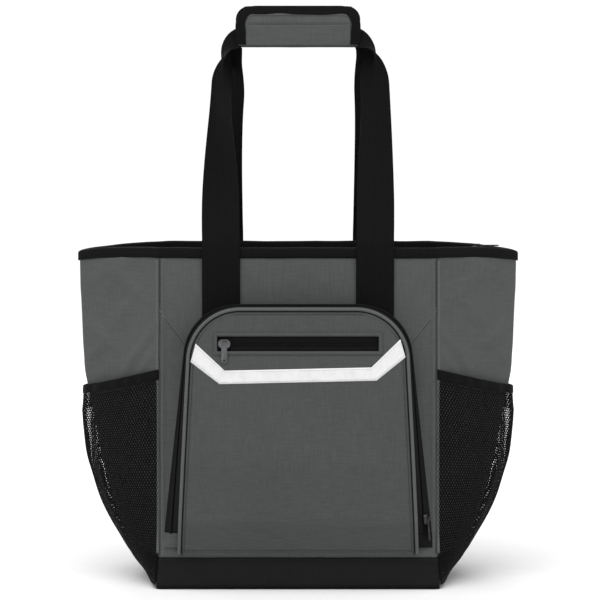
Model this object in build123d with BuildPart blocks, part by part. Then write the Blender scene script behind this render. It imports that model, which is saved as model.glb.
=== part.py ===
from build123d import *

import os
from math import atan, atan2, cos, exp, hypot, radians, sin

# Insulated cooler bag. Millimetres, +Z up, the front faces -Y, +X is to the right seen from the front.
# The origin is the middle of the flat base, on the surface that the bag stands on.

# --- driving dimensions: body -------------------------------------------------------------------
WALL_TOP = 341.0  # top of the walls, under the rim binding
BASE_HALF_WIDTH = 143.0
BASE_HALF_DEPTH = 90.0
TOP_HALF_DEPTH = 82.0
PANEL_HALF_WIDTH = 139.0  # the front and back panels above the base band
SIDE_FLARE = 83.0  # how far the side folds stand out past the base at the rim
FLARE_HEIGHT = 82.0  # height in which most of that flare is reached
BAND_HEIGHT = 34.0

SHELL = (0.0, 1.0)  # insets from the outer surface: outer fabric,
FOAM = (1.3, 6.3)  # foam,
LINING = (6.6, 7.4)  # and lining
BASE_SHEET = 1.6
BOARD = 2.0
FOAM_FLOOR = 5.0
GAP = 0.3  # clearance between neighbours
FINE_GAP = 0.1
OVERRUN = 2.0  # how far a cut runs past what it cuts
BOARD_BOTTOM = BASE_SHEET + GAP
FLOOR_BOTTOM = BOARD_BOTTOM + BOARD + GAP
LINING_BOTTOM = FLOOR_BOTTOM + FOAM_FLOOR + GAP
WALL_LEVELS = (LINING_BOTTOM, BAND_HEIGHT, 70.0, 120.0, 190.0, 265.0)  # where the walls change slope
LEVEL_MARGIN = 5.0  # least distance from a level to a wall's ends
LAYER_TOP = WALL_TOP - 1.0  # top of the foam and the lining
BASE_CORNER, BOARD_CORNER, FLOOR_CORNER = 5.0, 8.0, 4.0
BOARD_MARGIN = 0.6  # from the board's edge to the lining's line

BINDING_OUT, BINDING_IN = -1.3, 8.9  # insets of the rim binding's two faces
BINDING_HEIGHT = 11.5
BINDING_TOP = 343.0
BINDING_INNER_GAP, BINDING_CAP_GAP = 0.5, 0.4  # from the lining and from the tops of the walls

# --- driving dimensions: top closure --------------------------------------------------------------
FLAP_INSET = 10.5
FLAP_BOTTOM, FLAP_THICKNESS = 334.5, 2.5
FLAP_END = 177.0  # where the flaps stop short of the end tabs
FLAP_EDGE = 8.0  # distance of the flaps' free edges from the middle
FLAP_CORNER_CUT = 8.0  # cut off each flap's hinge corners, so that they clear the rim as the flap lifts
TAPE_EDGE = 15.0  # the closure tapes cover the flaps' free edges this far from the middle
TAPE_THICKNESS = 0.8
COIL_WIDTH, COIL_HEIGHT = 2.6, 1.8
COIL_CLEARANCE = 0.15
COIL_RISE = 1.4  # height of a coil that a slider rides over
COIL_END = 3.0  # from a closure coil's end to its tape's end
CLOSURE_SLIDER_X = 185.0
END_TAB_TIP, END_TAB_THICKNESS = 207.0, 1.6
END_TAB_GAP = 1.0  # between an end tab and the flaps

# --- driving dimensions: zip furniture ------------------------------------------------------------
SLIDER_LENGTH, SLIDER_WIDTH, SLIDER_HEIGHT = 12.0, 9.0, 3.0
SLIDER_CHANNEL = (5.6, 1.8)  # width and depth of the groove that rides over the coil
BRIDGE_LENGTH, BRIDGE_WIDTH, BRIDGE_POST = 4.6, 2.2, 1.0
PIVOT_HEIGHT, BRIDGE_CLEARANCE, BRIDGE_ROOF = 0.9, 0.9, 0.8  # the puller's bar turns under the bridge's roof
STUD_RADIUS, STUD_CAP_RADIUS, STUD_CAP = 1.0, 1.8, 0.5  # the slash slider's puller swings round a capped stud
STUD_PIVOT_HEIGHT = 1.7  # keeps the swinging puller clear of the pocket face and its strip
PULLER_LENGTH, PULLER_WIDTH, PULLER_THICKNESS = 22.0, 5.6, 1.2
PULLER_BAR = 0.9  # the bar across the puller's top
PULLER_EYE_WIDTH, PULLER_EYE_LENGTH = 2.8, 3.0
PULLER_HOLE = 2.0

# --- driving dimensions: front pocket -------------------------------------------------------------
FACE_BOTTOM, FACE_TOP = 36.0, 282.0
FACE_HALF_BOTTOM, FACE_HALF_TOP = 117.6, 104.6
FACE_CORNER = 50.0
FACE_THICKNESS = 2.6
FACE_DEPTHS = ((36.0, 4.2), (70.0, 22.0), (130.0, 31.0), (292.0, 33.0))  # height, distance from the panel
PIPING = 3.6
PIPING_PROUD = 0.5  # how far the piping stands in front of the face
GUSSET_TOP = 288.0
GUSSET_HALF_BOTTOM, GUSSET_HALF_TOP = 133.2, 110.4
GUSSET_THICKNESS = 1.2
GUSSET_FOOT = FACE_BOTTOM - 4.0  # where the gusset's outlines start, below the pocket face
GUSSET_FACE_MARGIN = PIPING - 1.0  # from the face's edge to the gusset's front edge
GUSSET_COIL_REACH = 2.2  # how far each coil reaches from the zip line
GUSSET_FACE_GAP = 0.6  # between the gusset and the piping
END_TAB_FOOT = FACE_BOTTOM + 6.0
GUSSET_BACK, GUSSET_FRONT = 82.0, 125.0  # the planes between which the gusset tapers
GUSSET_START = 58.0  # the zip starts above the end tabs
ZIP_LINE = ((58.0, 96.5), (288.0, 101.5))  # height and distance from the middle of the bag
SLIDER_START, SLIDER_TRAVEL_TOP = 72.0, 215.0
GUSSET_SLIDER_CLEARANCE = 0.9
GUSSET_TURN = radians(9.8)  # how far the gusset's sides face forward

SLASH_WIDTH, SLASH_HEIGHT, SLASH_MIDDLE = 160.0, 14.0, 249.5
SLASH_SLIDER_X = -73.0
SLASH_MARGIN = 6.0  # how far the slash tape reaches past its window
SLASH_SETBACK = 0.4  # between the slash tape and the back of the face
POUCH_CORNER = 10.0
POUCH_WIDTH, POUCH_BOTTOM, POUCH_TOP, POUCH_THICKNESS = 180.0, 150.0, 262.0, 1.6
STRIP_THICKNESS = 0.5
STRIP_LOW, STRIP_HIGH = 211.4, 224.8  # the level middle run of the reflective strip
STRIP_CORNERS = (77.0, 72.5)  # half widths at its lower and upper edge
STRIP_ENDS = ((103.5, 233.5), (99.5, 251.5))  # lower and upper end of each rising arm

# --- driving dimensions: mesh pockets ---------------------------------------------------------------
MESH_LEVELS = (5.0, 40.0, 90.0, 140.0, 180.0, 211.7)
MESH_THICKNESS = 0.9
MESH_GAP = 0.5
MESH_BULGE_MID, MESH_BULGE_FOLD = 13.0, 7.0
MESH_DROOP = 22.0
MESH_MIDDLE = 0.45  # share of the way from the seam to the fold where the mesh bulges most
MESH_SWELL = (0.1, 0.75)  # where on a half sine wave the bulge starts, and how much of it the height uses
ELASTIC_HEIGHT = 10.0
ELASTIC_THICKNESS = 1.8

# --- driving dimensions: handles ---------------------------------------------------------------------
WEBBING_WIDTH, WEBBING_THICKNESS = 38.0, 2.0
HANDLE_X = 77.0
STUB_FRONT_START, STUB_BACK_START, STUB_TOP = 289.5, 262.0, 344.0
STUB_Y = 85.0
LEG_START, LEG_TOP, LEG_TOP_Y = 347.0, 541.0, 4.2
LEG_STRAIGHT = 0.75  # share of a leg that keeps the webbing's full width
GRIP_Y = 3.3  # middle of each folded strap inside the wrap
FOLDED_THICKNESS = 3.6
GRIP_LOW, GRIP_HIGH = 552.5, 572.0
ARCH_INNER, ARCH_OUTER, ARCH_CORNER = 66.0, 88.0, 15.0
ARCH_LOW = LEG_TOP - 3.0
ARCH_CHAMFER = 2.0

WRAP_HALF_LENGTH = 64.5
WRAP_BOTTOM, WRAP_SHOULDER, WRAP_TOP = 544.5, 573.0, 587.0
WRAP_INNER, WRAP_OUTER = 6.4, 11.2
WRAP_PINCH_IN, WRAP_PINCH_OUT = 2.0, 6.0  # the two faces at the closed top edge
WRAP_EDGE = 4.0  # height of the closed edge
SHOULDER_STEP = 2.0  # how much higher the outer face starts to lean
BACK_FOOT = WRAP_BOTTOM + 4.0  # where the back of the wrap leaves the fold
FLAP_FOOT_GAP = 1.4  # from the flap's hinge to its foot
FOLD_THICKNESS = 4.6
FLAP_HINGE_Z = 546.6
PATCH_THICKNESS, PATCH_LENGTH, PATCH_HEIGHT = 1.6, 110.0, 3.6
PATCH_DROP = 3.8  # from the wrap's top to the patches' lower edge
WRAP_BINDING = 1.0  # thickness of the binding round the wrap's edges

os.makedirs("parts", exist_ok=True)


def finish(builder, name):
    """Label a finished piece and write it."""
    builder.part.label = name
    export_step(builder.part, f"parts/{name}.step")


# --- the shape of the body ----------------------------------------------------------------------------
def corner_x(z):
    """Half width of the front and back panels."""
    flare = max(0.0, 1.0 - z / BAND_HEIGHT) * (BASE_HALF_WIDTH - PANEL_HALF_WIDTH)
    return PANEL_HALF_WIDTH + flare


def corner_y(z):
    """Distance of the front and back panels from the middle."""
    return BASE_HALF_DEPTH + (TOP_HALF_DEPTH - BASE_HALF_DEPTH) * z / WALL_TOP


def fold_x(z):
    """Half width at the side folds."""
    return BASE_HALF_WIDTH + SIDE_FLARE * (1.0 - exp(-z / FLARE_HEIGHT))


def inset_corner(z, inset):
    """The front right corner of the plan at a height, moved inwards by the inset."""
    reach, depth = fold_x(z) - corner_x(z), corner_y(z)
    slope = (hypot(reach, depth) - reach) / depth
    return corner_x(z) - inset * slope, -(depth - inset)


def inset_fold(z, inset):
    """Half width of the side fold at a height, moved inwards by the inset."""
    reach, depth = fold_x(z) - corner_x(z), corner_y(z)
    return fold_x(z) - inset * hypot(reach, depth) / depth


def mesh_tilt(z):
    """Tip, in radians, of a mesh pocket's level, so that its top edge droops at the fold."""
    return atan(MESH_DROOP / (fold_x(z) - PANEL_HALF_WIDTH + 1.0)) * (z / MESH_LEVELS[-1]) ** 2


def outline_face(plane, points):
    """A flat face on a plane, bounded by straight lines between its points."""
    with BuildSketch(plane) as outline:
        with BuildLine():
            Polyline(*points, close=True)
        make_face()
    return outline.sketch


def tipped_section(side, z, tilt, outline):
    """A closed outline of (x, y) points on a level tipped down towards the side fold."""
    origin = Vector(side * corner_x(z), 0, z)
    plane = Plane(origin, x_dir=(side * cos(tilt), 0, -sin(tilt)), z_dir=(side * sin(tilt), 0, cos(tilt)))
    return outline_face(plane, [((x - corner_x(z)) / cos(tilt), side * y) for x, y in outline])


def wall_levels(bottom, top):
    """The heights at which a wall's sections are drawn."""
    inner = [z for z in WALL_LEVELS if bottom + LEVEL_MARGIN < z < top - LEVEL_MARGIN]
    return [bottom, *inner, top]


def side_wall(side, bottom, top, layer):
    """One layer of a side wall: a folded panel between the front and back corners."""
    sections = []
    for z in wall_levels(bottom, top):
        (near_x, near_y), (far_x, far_y) = inset_corner(z, layer[0]), inset_corner(z, layer[1])
        near_fold, far_fold = (inset_fold(z, layer[0]), 0), (inset_fold(z, layer[1]), 0)
        outline = [(near_x, near_y), near_fold, (near_x, -near_y), (far_x, -far_y), far_fold, (far_x, far_y)]
        sections.append(outline_face(Plane.XY.offset(z), [(side * x, y) for x, y in outline]))
    loft(sections, ruled=True)


def flat_wall(side, bottom, top, layer):
    """One layer of the front wall (side -1) or back wall (side 1)."""
    sections = []
    for z in wall_levels(bottom, top):
        (near_x, near_y), (far_x, far_y) = inset_corner(z, layer[0]), inset_corner(z, layer[1])
        points = [(-near_x, near_y), (near_x, near_y), (far_x, far_y), (-far_x, far_y)]
        sections.append(outline_face(Plane.XY.offset(z), [(x, -side * y) for x, y in points]))
    loft(sections, ruled=True)


def plan(bottom, top, inset, mode=Mode.ADD):
    """The whole plan of the body between two heights, at an inset, as one solid."""
    sections = []
    for z in wall_levels(bottom, top):
        x, y = inset_corner(z, inset)
        fold = inset_fold(z, inset)
        points = [(-x, y), (x, y), (fold, 0), (x, -y), (-x, -y), (-fold, 0)]
        sections.append(outline_face(Plane.XY.offset(z), points))
    loft(sections, ruled=True, mode=mode)


# --- outer shell, foam and base -----------------------------------------------------------------------
for name, side in (("outer_front_panel", -1), ("outer_back_panel", 1)):
    with BuildPart() as panel:
        flat_wall(side, BAND_HEIGHT + GAP, WALL_TOP, SHELL)
    finish(panel, name)

for name, side in (("outer_left_side", -1), ("outer_right_side", 1)):
    with BuildPart() as panel:
        side_wall(side, BAND_HEIGHT + GAP, WALL_TOP, SHELL)
    finish(panel, name)

for name, side in (("foam_front", -1), ("foam_back", 1)):
    with BuildPart() as foam:
        flat_wall(side, BASE_SHEET + GAP, LAYER_TOP, FOAM)
    finish(foam, name)

for name, side in (("foam_left", -1), ("foam_right", 1)):
    with BuildPart() as foam:
        side_wall(side, BASE_SHEET + GAP, LAYER_TOP, FOAM)
    finish(foam, name)

with BuildPart() as base_band:
    for face_side in (-1, 1):
        flat_wall(face_side, BASE_SHEET + GAP, BAND_HEIGHT, SHELL)
        side_wall(face_side, BASE_SHEET + GAP, BAND_HEIGHT, SHELL)
finish(base_band, "base_band")

with BuildPart() as base_sheet:
    with BuildSketch():
        RectangleRounded(2 * BASE_HALF_WIDTH, 2 * BASE_HALF_DEPTH, BASE_CORNER)
    extrude(amount=BASE_SHEET)
finish(base_sheet, "base_sheet")

floor_width = 2 * (BASE_HALF_WIDTH - LINING[0] - BOARD_MARGIN)
floor_depth = 2 * (BASE_HALF_DEPTH - LINING[0] - BOARD_MARGIN)

with BuildPart() as base_board:
    with BuildSketch(Plane.XY.offset(BOARD_BOTTOM)):
        RectangleRounded(floor_width, floor_depth, BOARD_CORNER)
    extrude(amount=BOARD)
finish(base_board, "base_board")

with BuildPart() as foam_floor:
    with BuildSketch(Plane.XY.offset(FLOOR_BOTTOM)):
        RectangleRounded(floor_width, floor_depth, FLOOR_CORNER)
    extrude(amount=FOAM_FLOOR)
finish(foam_floor, "foam_floor")

with BuildPart() as lining_tub:
    plan(LINING_BOTTOM, LAYER_TOP, LINING[0])
    plan(LINING_BOTTOM + LINING[1] - LINING[0], LAYER_TOP, LINING[1], mode=Mode.SUBTRACT)
finish(lining_tub, "lining_tub")

# The rim binding is a channel over the tops of all the walls: an outer skirt, an inner skirt and a cap.
channel = (SHELL[0] - GAP, LINING[1] + BINDING_INNER_GAP)
binding_bottom = BINDING_TOP - BINDING_HEIGHT
cap_bottom = WALL_TOP + BINDING_CAP_GAP
with BuildPart() as rim_binding:
    for face_side in (-1, 1):
        for bottom, top, layer in (
            (binding_bottom, cap_bottom, (BINDING_OUT, channel[0])),
            (binding_bottom, cap_bottom, (channel[1], BINDING_IN)),
            (cap_bottom, BINDING_TOP, (BINDING_OUT, BINDING_IN)),
        ):
            flat_wall(face_side, bottom, top, layer)
            side_wall(face_side, bottom, top, layer)
finish(rim_binding, "rim_binding")


# --- zip furniture ---------------------------------------------------------------------------------------
def slider_body(plane):
    """A zip slider on a plane whose origin is on the tape, x along the zip and z out of it."""
    channel_width, channel_depth = SLIDER_CHANNEL
    with BuildSketch(plane) as outline:
        SlotOverall(SLIDER_LENGTH, SLIDER_WIDTH)
    extrude(outline.sketch, amount=SLIDER_HEIGHT)
    with BuildSketch(plane) as groove:
        Rectangle(SLIDER_LENGTH + OVERRUN, channel_width)
    extrude(groove.sketch, amount=channel_depth, mode=Mode.SUBTRACT)


def slider_bridge(plane):
    """The arch over the puller's bar, on the top of a slider."""
    top = plane.offset(SLIDER_HEIGHT)
    rise = PIVOT_HEIGHT + BRIDGE_CLEARANCE
    with BuildSketch(top) as arch_foot:
        Rectangle(BRIDGE_LENGTH, BRIDGE_WIDTH)
    extrude(arch_foot.sketch, amount=rise + BRIDGE_ROOF)
    with BuildSketch(top) as opening:
        Rectangle(BRIDGE_LENGTH - 2 * BRIDGE_POST, BRIDGE_WIDTH + OVERRUN)
    extrude(opening.sketch, amount=rise, mode=Mode.SUBTRACT)


def slider_stud(plane):
    """The capped stud that a swinging puller hangs on."""
    rise = STUD_PIVOT_HEIGHT + PULLER_THICKNESS
    with BuildSketch(plane.offset(SLIDER_HEIGHT)) as stud:
        Circle(STUD_RADIUS)
    extrude(stud.sketch, amount=rise)
    with BuildSketch(plane.offset(SLIDER_HEIGHT + rise)) as cap:
        Circle(STUD_CAP_RADIUS)
    extrude(cap.sketch, amount=STUD_CAP)


def puller_tab(plane, swinging=False):
    """A puller on a plane whose origin is the pivot, with -y along the tab and z through its thickness."""
    with BuildSketch(plane.offset(-PULLER_THICKNESS / 2)) as tab:
        if swinging:
            with Locations((0, PULLER_WIDTH / 2 - PULLER_LENGTH / 2)):
                SlotOverall(PULLER_LENGTH, PULLER_WIDTH, rotation=90)
            Circle(STUD_RADIUS + GAP, mode=Mode.SUBTRACT)
        else:
            with Locations((0, PULLER_BAR / 2 - PULLER_LENGTH / 2)):
                RectangleRounded(PULLER_WIDTH, PULLER_LENGTH, PULLER_BAR * 0.49)
            with Locations((0, -(PULLER_BAR + PULLER_EYE_LENGTH) / 2)):
                Rectangle(PULLER_EYE_WIDTH, PULLER_EYE_LENGTH, mode=Mode.SUBTRACT)
        with Locations((0, PULLER_WIDTH - PULLER_LENGTH)):
            Circle(PULLER_HOLE / 2, mode=Mode.SUBTRACT)
    extrude(tab.sketch, amount=PULLER_THICKNESS)


# --- top closure -------------------------------------------------------------------------------------------
flap_top = FLAP_BOTTOM + FLAP_THICKNESS
hinge_x, hinge_y = inset_corner(WALL_TOP, FLAP_INSET)
fold_inner = inset_fold(WALL_TOP, FLAP_INSET)
flap_end_y = hinge_y * (fold_inner - FLAP_END) / (fold_inner - hinge_x)
coil_middle = COIL_CLEARANCE + COIL_WIDTH / 2
tape_bottom = flap_top + FINE_GAP
coil_bottom = tape_bottom + TAPE_THICKNESS

for end, side in (("front", 1), ("rear", -1)):
    with BuildPart() as flap:
        with BuildSketch(Plane.XY.offset(FLAP_BOTTOM)):
            with BuildLine():
                right = [(hinge_x - FLAP_CORNER_CUT, side * hinge_y), (FLAP_END, side * flap_end_y)]
                right += [(FLAP_END, -side * FLAP_EDGE)]
                Polyline(*right, *[(-x, y) for x, y in reversed(right)], close=True)
            make_face()
        extrude(amount=FLAP_THICKNESS)
    finish(flap, f"closure_flap_{end}")

    with BuildPart() as tape:
        with BuildSketch(Plane.XY.offset(tape_bottom)):
            with Locations((0, -side * (TAPE_EDGE + COIL_CLEARANCE) / 2)):
                Rectangle(2 * FLAP_END, TAPE_EDGE - COIL_CLEARANCE)
        extrude(amount=TAPE_THICKNESS)
    finish(tape, f"closure_tape_{end}")

    with BuildPart() as coil:
        with BuildSketch(Plane.XY.offset(coil_bottom)):
            with Locations((0, -side * (coil_middle + COIL_CLEARANCE))):
                Rectangle(2 * (FLAP_END - COIL_END), COIL_WIDTH - 2 * COIL_CLEARANCE)
        extrude(amount=COIL_RISE)
    finish(coil, f"closure_coil_{end}")

tab_base = FLAP_END + END_TAB_GAP
tab_slope = -hinge_y / (fold_inner - hinge_x)
for name, side in (("closure_end_tab_left", -1), ("closure_end_tab_right", 1)):
    with BuildPart() as end_tab:
        with BuildSketch(Plane.XY.offset(tape_bottom - END_TAB_THICKNESS / 2)):
            with BuildLine():
                base_reach, tip_reach = ((fold_inner - x) * tab_slope for x in (tab_base, END_TAB_TIP))
                corners = [(tab_base, -base_reach), (END_TAB_TIP, -tip_reach)]
                corners += [(END_TAB_TIP, tip_reach), (tab_base, base_reach)]
                Polyline(*[(side * x, y) for x, y in corners], close=True)
            make_face()
        extrude(amount=END_TAB_THICKNESS)
    finish(end_tab, name)

slider_base = coil_bottom + COIL_CLEARANCE
closure_slider_plane = Plane((CLOSURE_SLIDER_X, 0, slider_base), x_dir=(1, 0, 0), z_dir=(0, 0, 1))
with BuildPart() as closure_slider:
    slider_body(closure_slider_plane)
    slider_bridge(closure_slider_plane)
finish(closure_slider, "closure_slider")

pivot_rise = SLIDER_HEIGHT + PIVOT_HEIGHT
closure_pivot = Vector(CLOSURE_SLIDER_X, 0, slider_base + pivot_rise)
with BuildPart() as closure_puller:
    puller_tab(Plane(closure_pivot, x_dir=(0, 1, 0), z_dir=(0, 0, 1)))
finish(closure_puller, "closure_puller")


# --- front pocket -------------------------------------------------------------------------------------
def face_depth(z):
    """Distance of the pocket face's outer surface from the front panel."""
    for (low, near), (high, far) in zip(FACE_DEPTHS, FACE_DEPTHS[1:]):
        if z <= high:
            return near + (far - near) * (z - low) / (high - low)
    return FACE_DEPTHS[-1][1]


def face_y(z):
    """Y of the pocket face's outer surface."""
    return -(corner_y(z) + face_depth(z))


def zip_y(z):
    """Y of the pocket zip, which runs straight up both sides."""
    (low, near), (high, far) = ZIP_LINE
    return -(near + (far - near) * (z - low) / (high - low))


def slab(bottom, top, front, back, mode=Mode.INTERSECT):
    """A slab across the bag between two surfaces, each a function that gives y at a height."""
    heights = [bottom, *[z for z, _ in FACE_DEPTHS if bottom < z < top], top]
    points = [(front(z), z) for z in heights] + [(back(z), z) for z in reversed(heights)]
    extrude(outline_face(Plane.YZ, points), amount=2 * BASE_HALF_WIDTH, both=True, mode=mode)


def arch(y, half_bottom, half_top, bottom, top, corner):
    """An upright outline facing the front, with a straight foot and two round top corners."""
    with BuildSketch(Plane.XZ.offset(y)) as outline:
        with BuildLine():
            right = [(half_bottom, bottom), (half_top, top)]
            Polyline(*right, *[(-x, z) for x, z in reversed(right)], close=True)
        make_face()
        fillet(outline.vertices().group_by(Axis.Y)[-1], radius=corner)
    return outline.sketch


def face_block(grow, mode):
    """The pocket face's outline, grown by a margin at its sides and top, driven through the pocket."""
    halves = (FACE_HALF_BOTTOM + grow, FACE_HALF_TOP + grow)
    outline = arch(TOP_HALF_DEPTH, *halves, FACE_BOTTOM, FACE_TOP + grow, FACE_CORNER + grow)
    extrude(outline, amount=GUSSET_FRONT, mode=mode)


def gusset_loft(grow, mode):
    """The tapering block that the gusset wraps, grown by a margin, from the bag to past the face."""
    rear = (GUSSET_HALF_BOTTOM + grow, GUSSET_HALF_TOP + grow)
    front = (FACE_HALF_BOTTOM + GUSSET_FACE_MARGIN + grow, FACE_HALF_TOP + GUSSET_FACE_MARGIN + grow)
    ends = ((GUSSET_BACK, rear, GUSSET_TOP), (GUSSET_FRONT, front, FACE_TOP + GUSSET_FACE_MARGIN))
    corner = FACE_CORNER + PIPING + grow
    outlines = [arch(y, *halves, GUSSET_FOOT, top + grow, corner) for y, halves, top in ends]
    loft(outlines, ruled=True, mode=mode)


def gusset_ring(outer, inner):
    """A band of the gusset between two margins."""
    gusset_loft(outer, Mode.ADD)
    gusset_loft(inner, Mode.SUBTRACT)


def behind_face(z):
    """Y just behind the piping, where the gusset ends."""
    return face_y(z) + PIPING + GUSSET_FACE_GAP


def piping_front(z):
    """Y of the piping's front."""
    return face_y(z) - PIPING_PROUD


def piping_back(z):
    """Y of the piping's back."""
    return piping_front(z) + PIPING


def before_panel(z):
    """Y just in front of the front panel."""
    return -(corner_y(z) + GAP)


with BuildPart() as pocket_rear_tape:
    gusset_ring(0, -GUSSET_THICKNESS)
    slab(GUSSET_START, GUSSET_TOP + OVERRUN, lambda z: zip_y(z) + COIL_CLEARANCE, before_panel)
finish(pocket_rear_tape, "pocket_rear_tape")

coil_cut_top = GUSSET_TOP + COIL_HEIGHT + OVERRUN
with BuildPart() as pocket_rear_coil:
    gusset_ring(COIL_HEIGHT, FINE_GAP)
    slab(GUSSET_START, coil_cut_top, lambda z: zip_y(z) + COIL_CLEARANCE, lambda z: zip_y(z) + GUSSET_COIL_REACH)
finish(pocket_rear_coil, "pocket_rear_coil")

with BuildPart() as pocket_front_tape:
    gusset_ring(0, -GUSSET_THICKNESS)
    slab(GUSSET_START, GUSSET_TOP + OVERRUN, behind_face, lambda z: zip_y(z) - COIL_CLEARANCE)
finish(pocket_front_tape, "pocket_front_tape")

with BuildPart() as pocket_front_coil:
    gusset_ring(COIL_HEIGHT, FINE_GAP)
    slab(GUSSET_START, coil_cut_top, lambda z: zip_y(z) - GUSSET_COIL_REACH, lambda z: zip_y(z) - COIL_CLEARANCE)
finish(pocket_front_coil, "pocket_front_coil")

for name, side in (("pocket_end_tab_left", -1), ("pocket_end_tab_right", 1)):
    with BuildPart() as end_tab:
        gusset_ring(0, -2 * GUSSET_THICKNESS)
        slab(END_TAB_FOOT, GUSSET_START - GAP, lambda z: behind_face(z) + 1.0, before_panel)
        split(bisect_by=Plane.YZ, keep=Keep.TOP if side > 0 else Keep.BOTTOM)
    finish(end_tab, name)

with BuildPart() as pocket_face:
    slab(FACE_BOTTOM, FACE_TOP + OVERRUN, face_y, lambda z: face_y(z) + FACE_THICKNESS, mode=Mode.ADD)
    face_block(0, Mode.INTERSECT)
    with BuildSketch(Plane.XZ.offset(TOP_HALF_DEPTH)):
        with Locations((0, SLASH_MIDDLE)):
            Rectangle(SLASH_WIDTH, SLASH_HEIGHT)
    extrude(amount=GUSSET_FRONT, mode=Mode.SUBTRACT)
finish(pocket_face, "pocket_face")

with BuildPart() as pocket_piping:
    slab(FACE_BOTTOM, FACE_TOP + PIPING + OVERRUN, piping_front, piping_back, mode=Mode.ADD)
    face_block(PIPING, Mode.INTERSECT)
    face_block(GAP, Mode.SUBTRACT)
finish(pocket_piping, "pocket_piping")

# The slash zip lies in the face's window, with its tape behind the face.
slash_face = face_y(SLASH_MIDDLE)
tape_front = -(slash_face + FACE_THICKNESS + SLASH_SETBACK)
with BuildPart() as slash_tape:
    with BuildSketch(Plane.XZ.offset(tape_front - TAPE_THICKNESS)):
        with Locations((0, SLASH_MIDDLE)):
            Rectangle(SLASH_WIDTH + 2 * SLASH_MARGIN, SLASH_HEIGHT + 2 * SLASH_MARGIN)
    extrude(amount=TAPE_THICKNESS)
finish(slash_tape, "slash_tape")

with BuildPart() as slash_coil:
    with BuildSketch(Plane.XZ.offset(tape_front + FINE_GAP)):
        with Locations((0, SLASH_MIDDLE)):
            Rectangle(SLASH_WIDTH - GAP, 2 * (COIL_WIDTH - 2 * COIL_CLEARANCE))
    extrude(amount=COIL_RISE)
finish(slash_coil, "slash_coil")

with BuildPart() as slash_pouch:
    with BuildSketch(Plane.XZ.offset(tape_front - TAPE_THICKNESS - GAP - POUCH_THICKNESS)):
        with Locations((0, (POUCH_BOTTOM + POUCH_TOP) / 2)):
            RectangleRounded(POUCH_WIDTH, POUCH_TOP - POUCH_BOTTOM, POUCH_CORNER)
    extrude(amount=POUCH_THICKNESS)
finish(slash_pouch, "slash_pouch")

slash_base = Vector(SLASH_SLIDER_X, -(tape_front + GAP), SLASH_MIDDLE)
slash_plane = Plane(slash_base, x_dir=(1, 0, 0), z_dir=(0, -1, 0))
with BuildPart() as slash_slider:
    slider_body(slash_plane)
    slider_stud(slash_plane)
finish(slash_slider, "slash_slider")

slash_pivot = slash_base + Vector(0, -(SLIDER_HEIGHT + STUD_PIVOT_HEIGHT), 0)
with BuildPart() as slash_puller:
    puller_tab(Plane(slash_pivot, x_dir=(1, 0, 0), z_dir=(0, -1, 0)), swinging=True)
finish(slash_puller, "slash_puller")

strip_front = -face_y(STRIP_LOW) + FINE_GAP
with BuildPart() as reflective_strip:
    with BuildSketch(Plane.XZ.offset(strip_front)):
        with BuildLine():
            lower = [(STRIP_CORNERS[0], STRIP_LOW), STRIP_ENDS[0]]
            upper = [STRIP_ENDS[1], (STRIP_CORNERS[1], STRIP_HIGH)]
            right = lower + upper
            Polyline(*right, *[(-x, z) for x, z in reversed(right)], close=True)
        make_face()
    extrude(amount=STRIP_THICKNESS)
finish(reflective_strip, "reflective_strip")


# --- pocket slider, on the straight right-hand run of the zip ------------------------------------------
def gusset_half_width(z):
    """Half width of the gusset's outer surface on the zip line."""
    rise = (z - GUSSET_FOOT) / (FACE_TOP - GUSSET_FOOT)
    rear = GUSSET_HALF_BOTTOM + (GUSSET_HALF_TOP - GUSSET_HALF_BOTTOM) * rise
    front = FACE_HALF_BOTTOM + GUSSET_FACE_MARGIN + (FACE_HALF_TOP - FACE_HALF_BOTTOM) * rise
    along = (-zip_y(z) - GUSSET_BACK) / (GUSSET_FRONT - GUSSET_BACK)
    return rear + (front - rear) * along


def zip_point(z):
    """A point on the right-hand zip line."""
    return Vector(gusset_half_width(z), zip_y(z), z)


run = (zip_point(SLIDER_TRAVEL_TOP) - zip_point(SLIDER_START)).normalized()
outward = Vector(cos(GUSSET_TURN), -sin(GUSSET_TURN), 0)
outward = (outward - run * outward.dot(run)).normalized()
pocket_slider_base = zip_point(SLIDER_START) + outward * GUSSET_SLIDER_CLEARANCE
pocket_slider_plane = Plane(pocket_slider_base, x_dir=run, z_dir=outward)
with BuildPart() as pocket_slider:
    slider_body(pocket_slider_plane)
    slider_bridge(pocket_slider_plane)
finish(pocket_slider, "pocket_slider")

pocket_pivot = pocket_slider_base + outward * pivot_rise
with BuildPart() as pocket_puller:
    puller_tab(Plane(pocket_pivot, x_dir=run.cross(outward), z_dir=outward))
finish(pocket_puller, "pocket_puller")


# --- mesh side pockets --------------------------------------------------------------------------------
def mesh_outline(z, outward):
    """Front half of a mesh pocket's plan at a height: seam, middle and fold, moved outwards by a distance."""
    rise = z / MESH_LEVELS[-1]
    swell = sin(radians(180 * min(1.0, MESH_SWELL[0] + MESH_SWELL[1] * rise)))
    seam = inset_corner(z, -(MESH_GAP + outward))
    reach, depth = fold_x(z) - corner_x(z), corner_y(z)
    length = hypot(reach, depth)
    bulge = MESH_GAP + outward + MESH_BULGE_MID * swell
    middle_x = corner_x(z) + MESH_MIDDLE * reach + bulge * depth / length
    middle = (middle_x, (MESH_MIDDLE - 1) * depth - bulge * reach / length)
    fold = (fold_x(z) + (MESH_GAP + outward) * length / depth + MESH_BULGE_FOLD * swell, 0)
    return [seam, middle, fold]


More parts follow.
